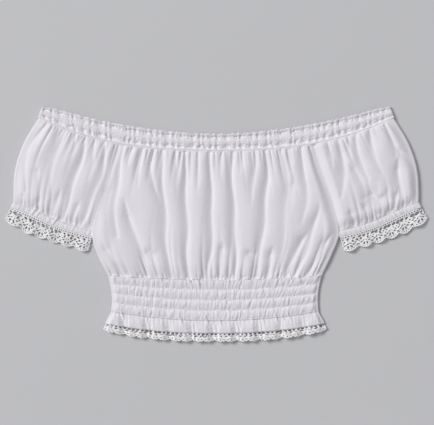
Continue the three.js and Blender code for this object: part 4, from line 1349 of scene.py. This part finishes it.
class BLOUSE_OT_hem_frill(Undoable, bpy.types.Operator):
    """Adds the short frill below the shirring"""

    bl_idname = "blouse.hem_frill"
    bl_label = "Hem Frill"

    def execute(self, context):
        points = rolled(frill_front(*grid(400, 22)), 1.5, SEAM_LOW)
        sewn("frill_cloth_front", "hem_frill_front", points, BODY_CUT)
        sewn("frill_cloth_back", "hem_frill_back", frill_back(*grid(240, 10)), BODY_CUT,
             reverse=True)
        return {"FINISHED"}


class BLOUSE_OT_hem_lace(Undoable, bpy.types.Operator):
    """Adds the narrow lace edging under the frill, front and back"""

    bl_idname = "blouse.hem_lace"
    bl_label = "Hem Lace"

    def execute(self, context):
        layers = (("front", hem_lace_front, (640, 26)), ("back", hem_lace_back, (440, 18)))
        for layer, form, cells in layers:
            u, v = grid(*cells)
            v = v * HEM_PAST
            edged(f"hem_edging_{layer}", f"hem_lace_{layer}", form(u, v), hem_pattern(u, v),
                  layer == "front", HEM_LACE_LONG,
                  reverse=layer == "back")
        return {"FINISHED"}


class BLOUSE_OT_cuff_strips(Undoable, bpy.types.Operator):
    """Adds the plain strips over the cuff elastic"""

    bl_idname = "blouse.cuff_strips"
    bl_label = "Cuff Strips"

    def execute(self, context):
        rows = 12
        for side, name in SIDES:
            front, back = strip_front(side, *grid(200, rows)), strip_back(side, *grid(120, rows))
            end = between(cuff_seam(side), cuff_line(side, CUFF_STRIP))
            v = np.linspace(0, 1, rows)
            whole = folded_over(front, back, lambda t: end(np.ones_like(t), t), v)
            whole = rolled(whole, 1.5, whole[:, -1, 2], ends=(0,))
            sewn(f"cuff_strip_cloth_{name}", f"cuff_strip_{name}", whole, SLEEVE_CUT,
                 reverse=side < 0)
        return {"FINISHED"}


class BLOUSE_OT_cuff_laces(Undoable, bpy.types.Operator):
    """Adds the wide scalloped lace below each cuff, front and back"""

    bl_idname = "blouse.cuff_laces"
    bl_label = "Cuff Laces"

    def execute(self, context):
        layers = (("front", cuff_lace_front, (290, 62)), ("back", cuff_lace_back, (190, 40)))
        for side, name in SIDES:
            for layer, form, cells in layers:
                u, v = grid(*cells)
                v = v * CUFF_PAST
                edged(f"cuff_edging_{name}_{layer}", f"cuff_lace_{name}_{layer}", form(side, u, v),
                      cuff_pattern(u, v), layer == "front", CUFF_LACE_LONG,
                      reverse=(side < 0) != (layer == "back"))
        return {"FINISHED"}


def on_surface(form, u, v, lift):
    """A row of points along a form, lifted off it."""
    row = form(u, np.full_like(u, v))
    row[:, 2] += lift
    return row


class BLOUSE_OT_stitching(Undoable, bpy.types.Operator):
    """Adds the rows of stitches along the casing, the shirring, the cuffs and the hem"""

    bl_idname = "blouse.stitching"
    bl_label = "Stitching"

    def execute(self, context):
        sizes = context.scene.blouse_sizes
        u, along = np.linspace(0.005, 0.995, 1600), np.linspace(0.02, 0.94, 600)
        lift = sizes.thread / MM * 0.3
        rows = [on_surface(neck_front, u, w, lift) for w in (0.02, 0.7)]
        rows += [on_surface(waist_front, u, band / WAIST_BANDS, lift) for band in range(WAIST_BANDS + 1)]
        rows += [on_surface(frill_front, u, 0.93, lift)]
        rows += [on_surface(partial(strip_front, side), along, 0.86, lift) for side, _ in SIDES]
        thing = stitch_rows("stitches", rows, sizes.stitch / MM, STITCH_GAP, sizes.thread / MM)
        thing.data.materials.append(finish_of(sewing_thread))
        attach(thing, "root")
        return {"FINISHED"}


class BLOUSE_OT_stage(Undoable, bpy.types.Operator):
    """Adds the floor, the soft lights and the camera over the blouse"""

    bl_idname = "blouse.stage"
    bl_label = "Stage"

    def execute(self, context):
        scene = context.scene
        bpy.ops.mesh.primitive_plane_add(size=FLOOR_SIZE, location=(0, 0, -FLOOR_DROP))
        floor = context.object
        floor.name = "floor"
        floor.data.materials.append(finish_of(painted_board))
        for name, place, size, power in LIGHTS:
            data = bpy.data.lights.new(name, "AREA")
            data.size = size
            data.energy = power
            light = placed(name, data)
            light.location = place
            away = unit(np.array(place))
            light.rotation_euler = (math.acos(away[2]), 0, math.atan2(away[0], -away[1]))
        world = bpy.data.worlds.new("studio")
        world.use_nodes = True
        around = world.node_tree.nodes["Background"]
        around.inputs["Color"].default_value = linear("#F2F3F7")
        around.inputs["Strength"].default_value = WORLD_STRENGTH
        scene.world = world
        data = bpy.data.cameras.new("camera")
        data.sensor_width = SENSOR
        data.lens = SENSOR * (CAMERA_HEIGHT - FRONT_TOP * MM) / VIEW_ACROSS
        scene.camera = placed("camera", data)
        scene.camera.location = (*VIEW_MIDDLE, CAMERA_HEIGHT)
        scene.view_settings.view_transform = "Standard"
        return {"FINISHED"}


PIECES = (
    BLOUSE_OT_back_panel,
    BLOUSE_OT_front_panel,
    BLOUSE_OT_sleeves,
    BLOUSE_OT_neck_casing,
    BLOUSE_OT_waist_shirring,
    BLOUSE_OT_hem_frill,
    BLOUSE_OT_hem_lace,
    BLOUSE_OT_cuff_strips,
    BLOUSE_OT_cuff_laces,
    BLOUSE_OT_stitching,
    BLOUSE_OT_stage,
)


class BLOUSE_PT_panel(bpy.types.Panel):
    """Lists the blouse's sizes, colours and pieces"""

    bl_idname = "BLOUSE_PT_panel"
    bl_label = "Dirndl Blouse"
    bl_space_type = "VIEW_3D"
    bl_region_type = "UI"
    bl_category = "Blouse"

    def draw(self, context):
        for settings in (context.scene.blouse_sizes, context.scene.blouse_colours):
            for name in settings.__annotations__:
                self.layout.prop(settings, name)
        for piece in PIECES:
            self.layout.operator(piece.bl_idname)


CLASSES = (BlouseSizes, BlouseColours, *PIECES, BLOUSE_PT_panel)


def register():
    """Registers the classes, and ties the settings to the scene."""
    for cls in CLASSES:
        bpy.utils.register_class(cls)
    bpy.types.Scene.blouse_sizes = bpy.props.PointerProperty(type=BlouseSizes)
    bpy.types.Scene.blouse_colours = bpy.props.PointerProperty(type=BlouseColours)


def unregister():
    """Takes both away again."""
    del bpy.types.Scene.blouse_colours
    del bpy.types.Scene.blouse_sizes
    for cls in reversed(CLASSES):
        bpy.utils.unregister_class(cls)


def main():
    """Registers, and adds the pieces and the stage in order."""
    register()
    for piece in PIECES:
        group, name = piece.bl_idname.split(".")
        getattr(getattr(bpy.ops, group), name)()


if __name__ == "__main__":
    main()
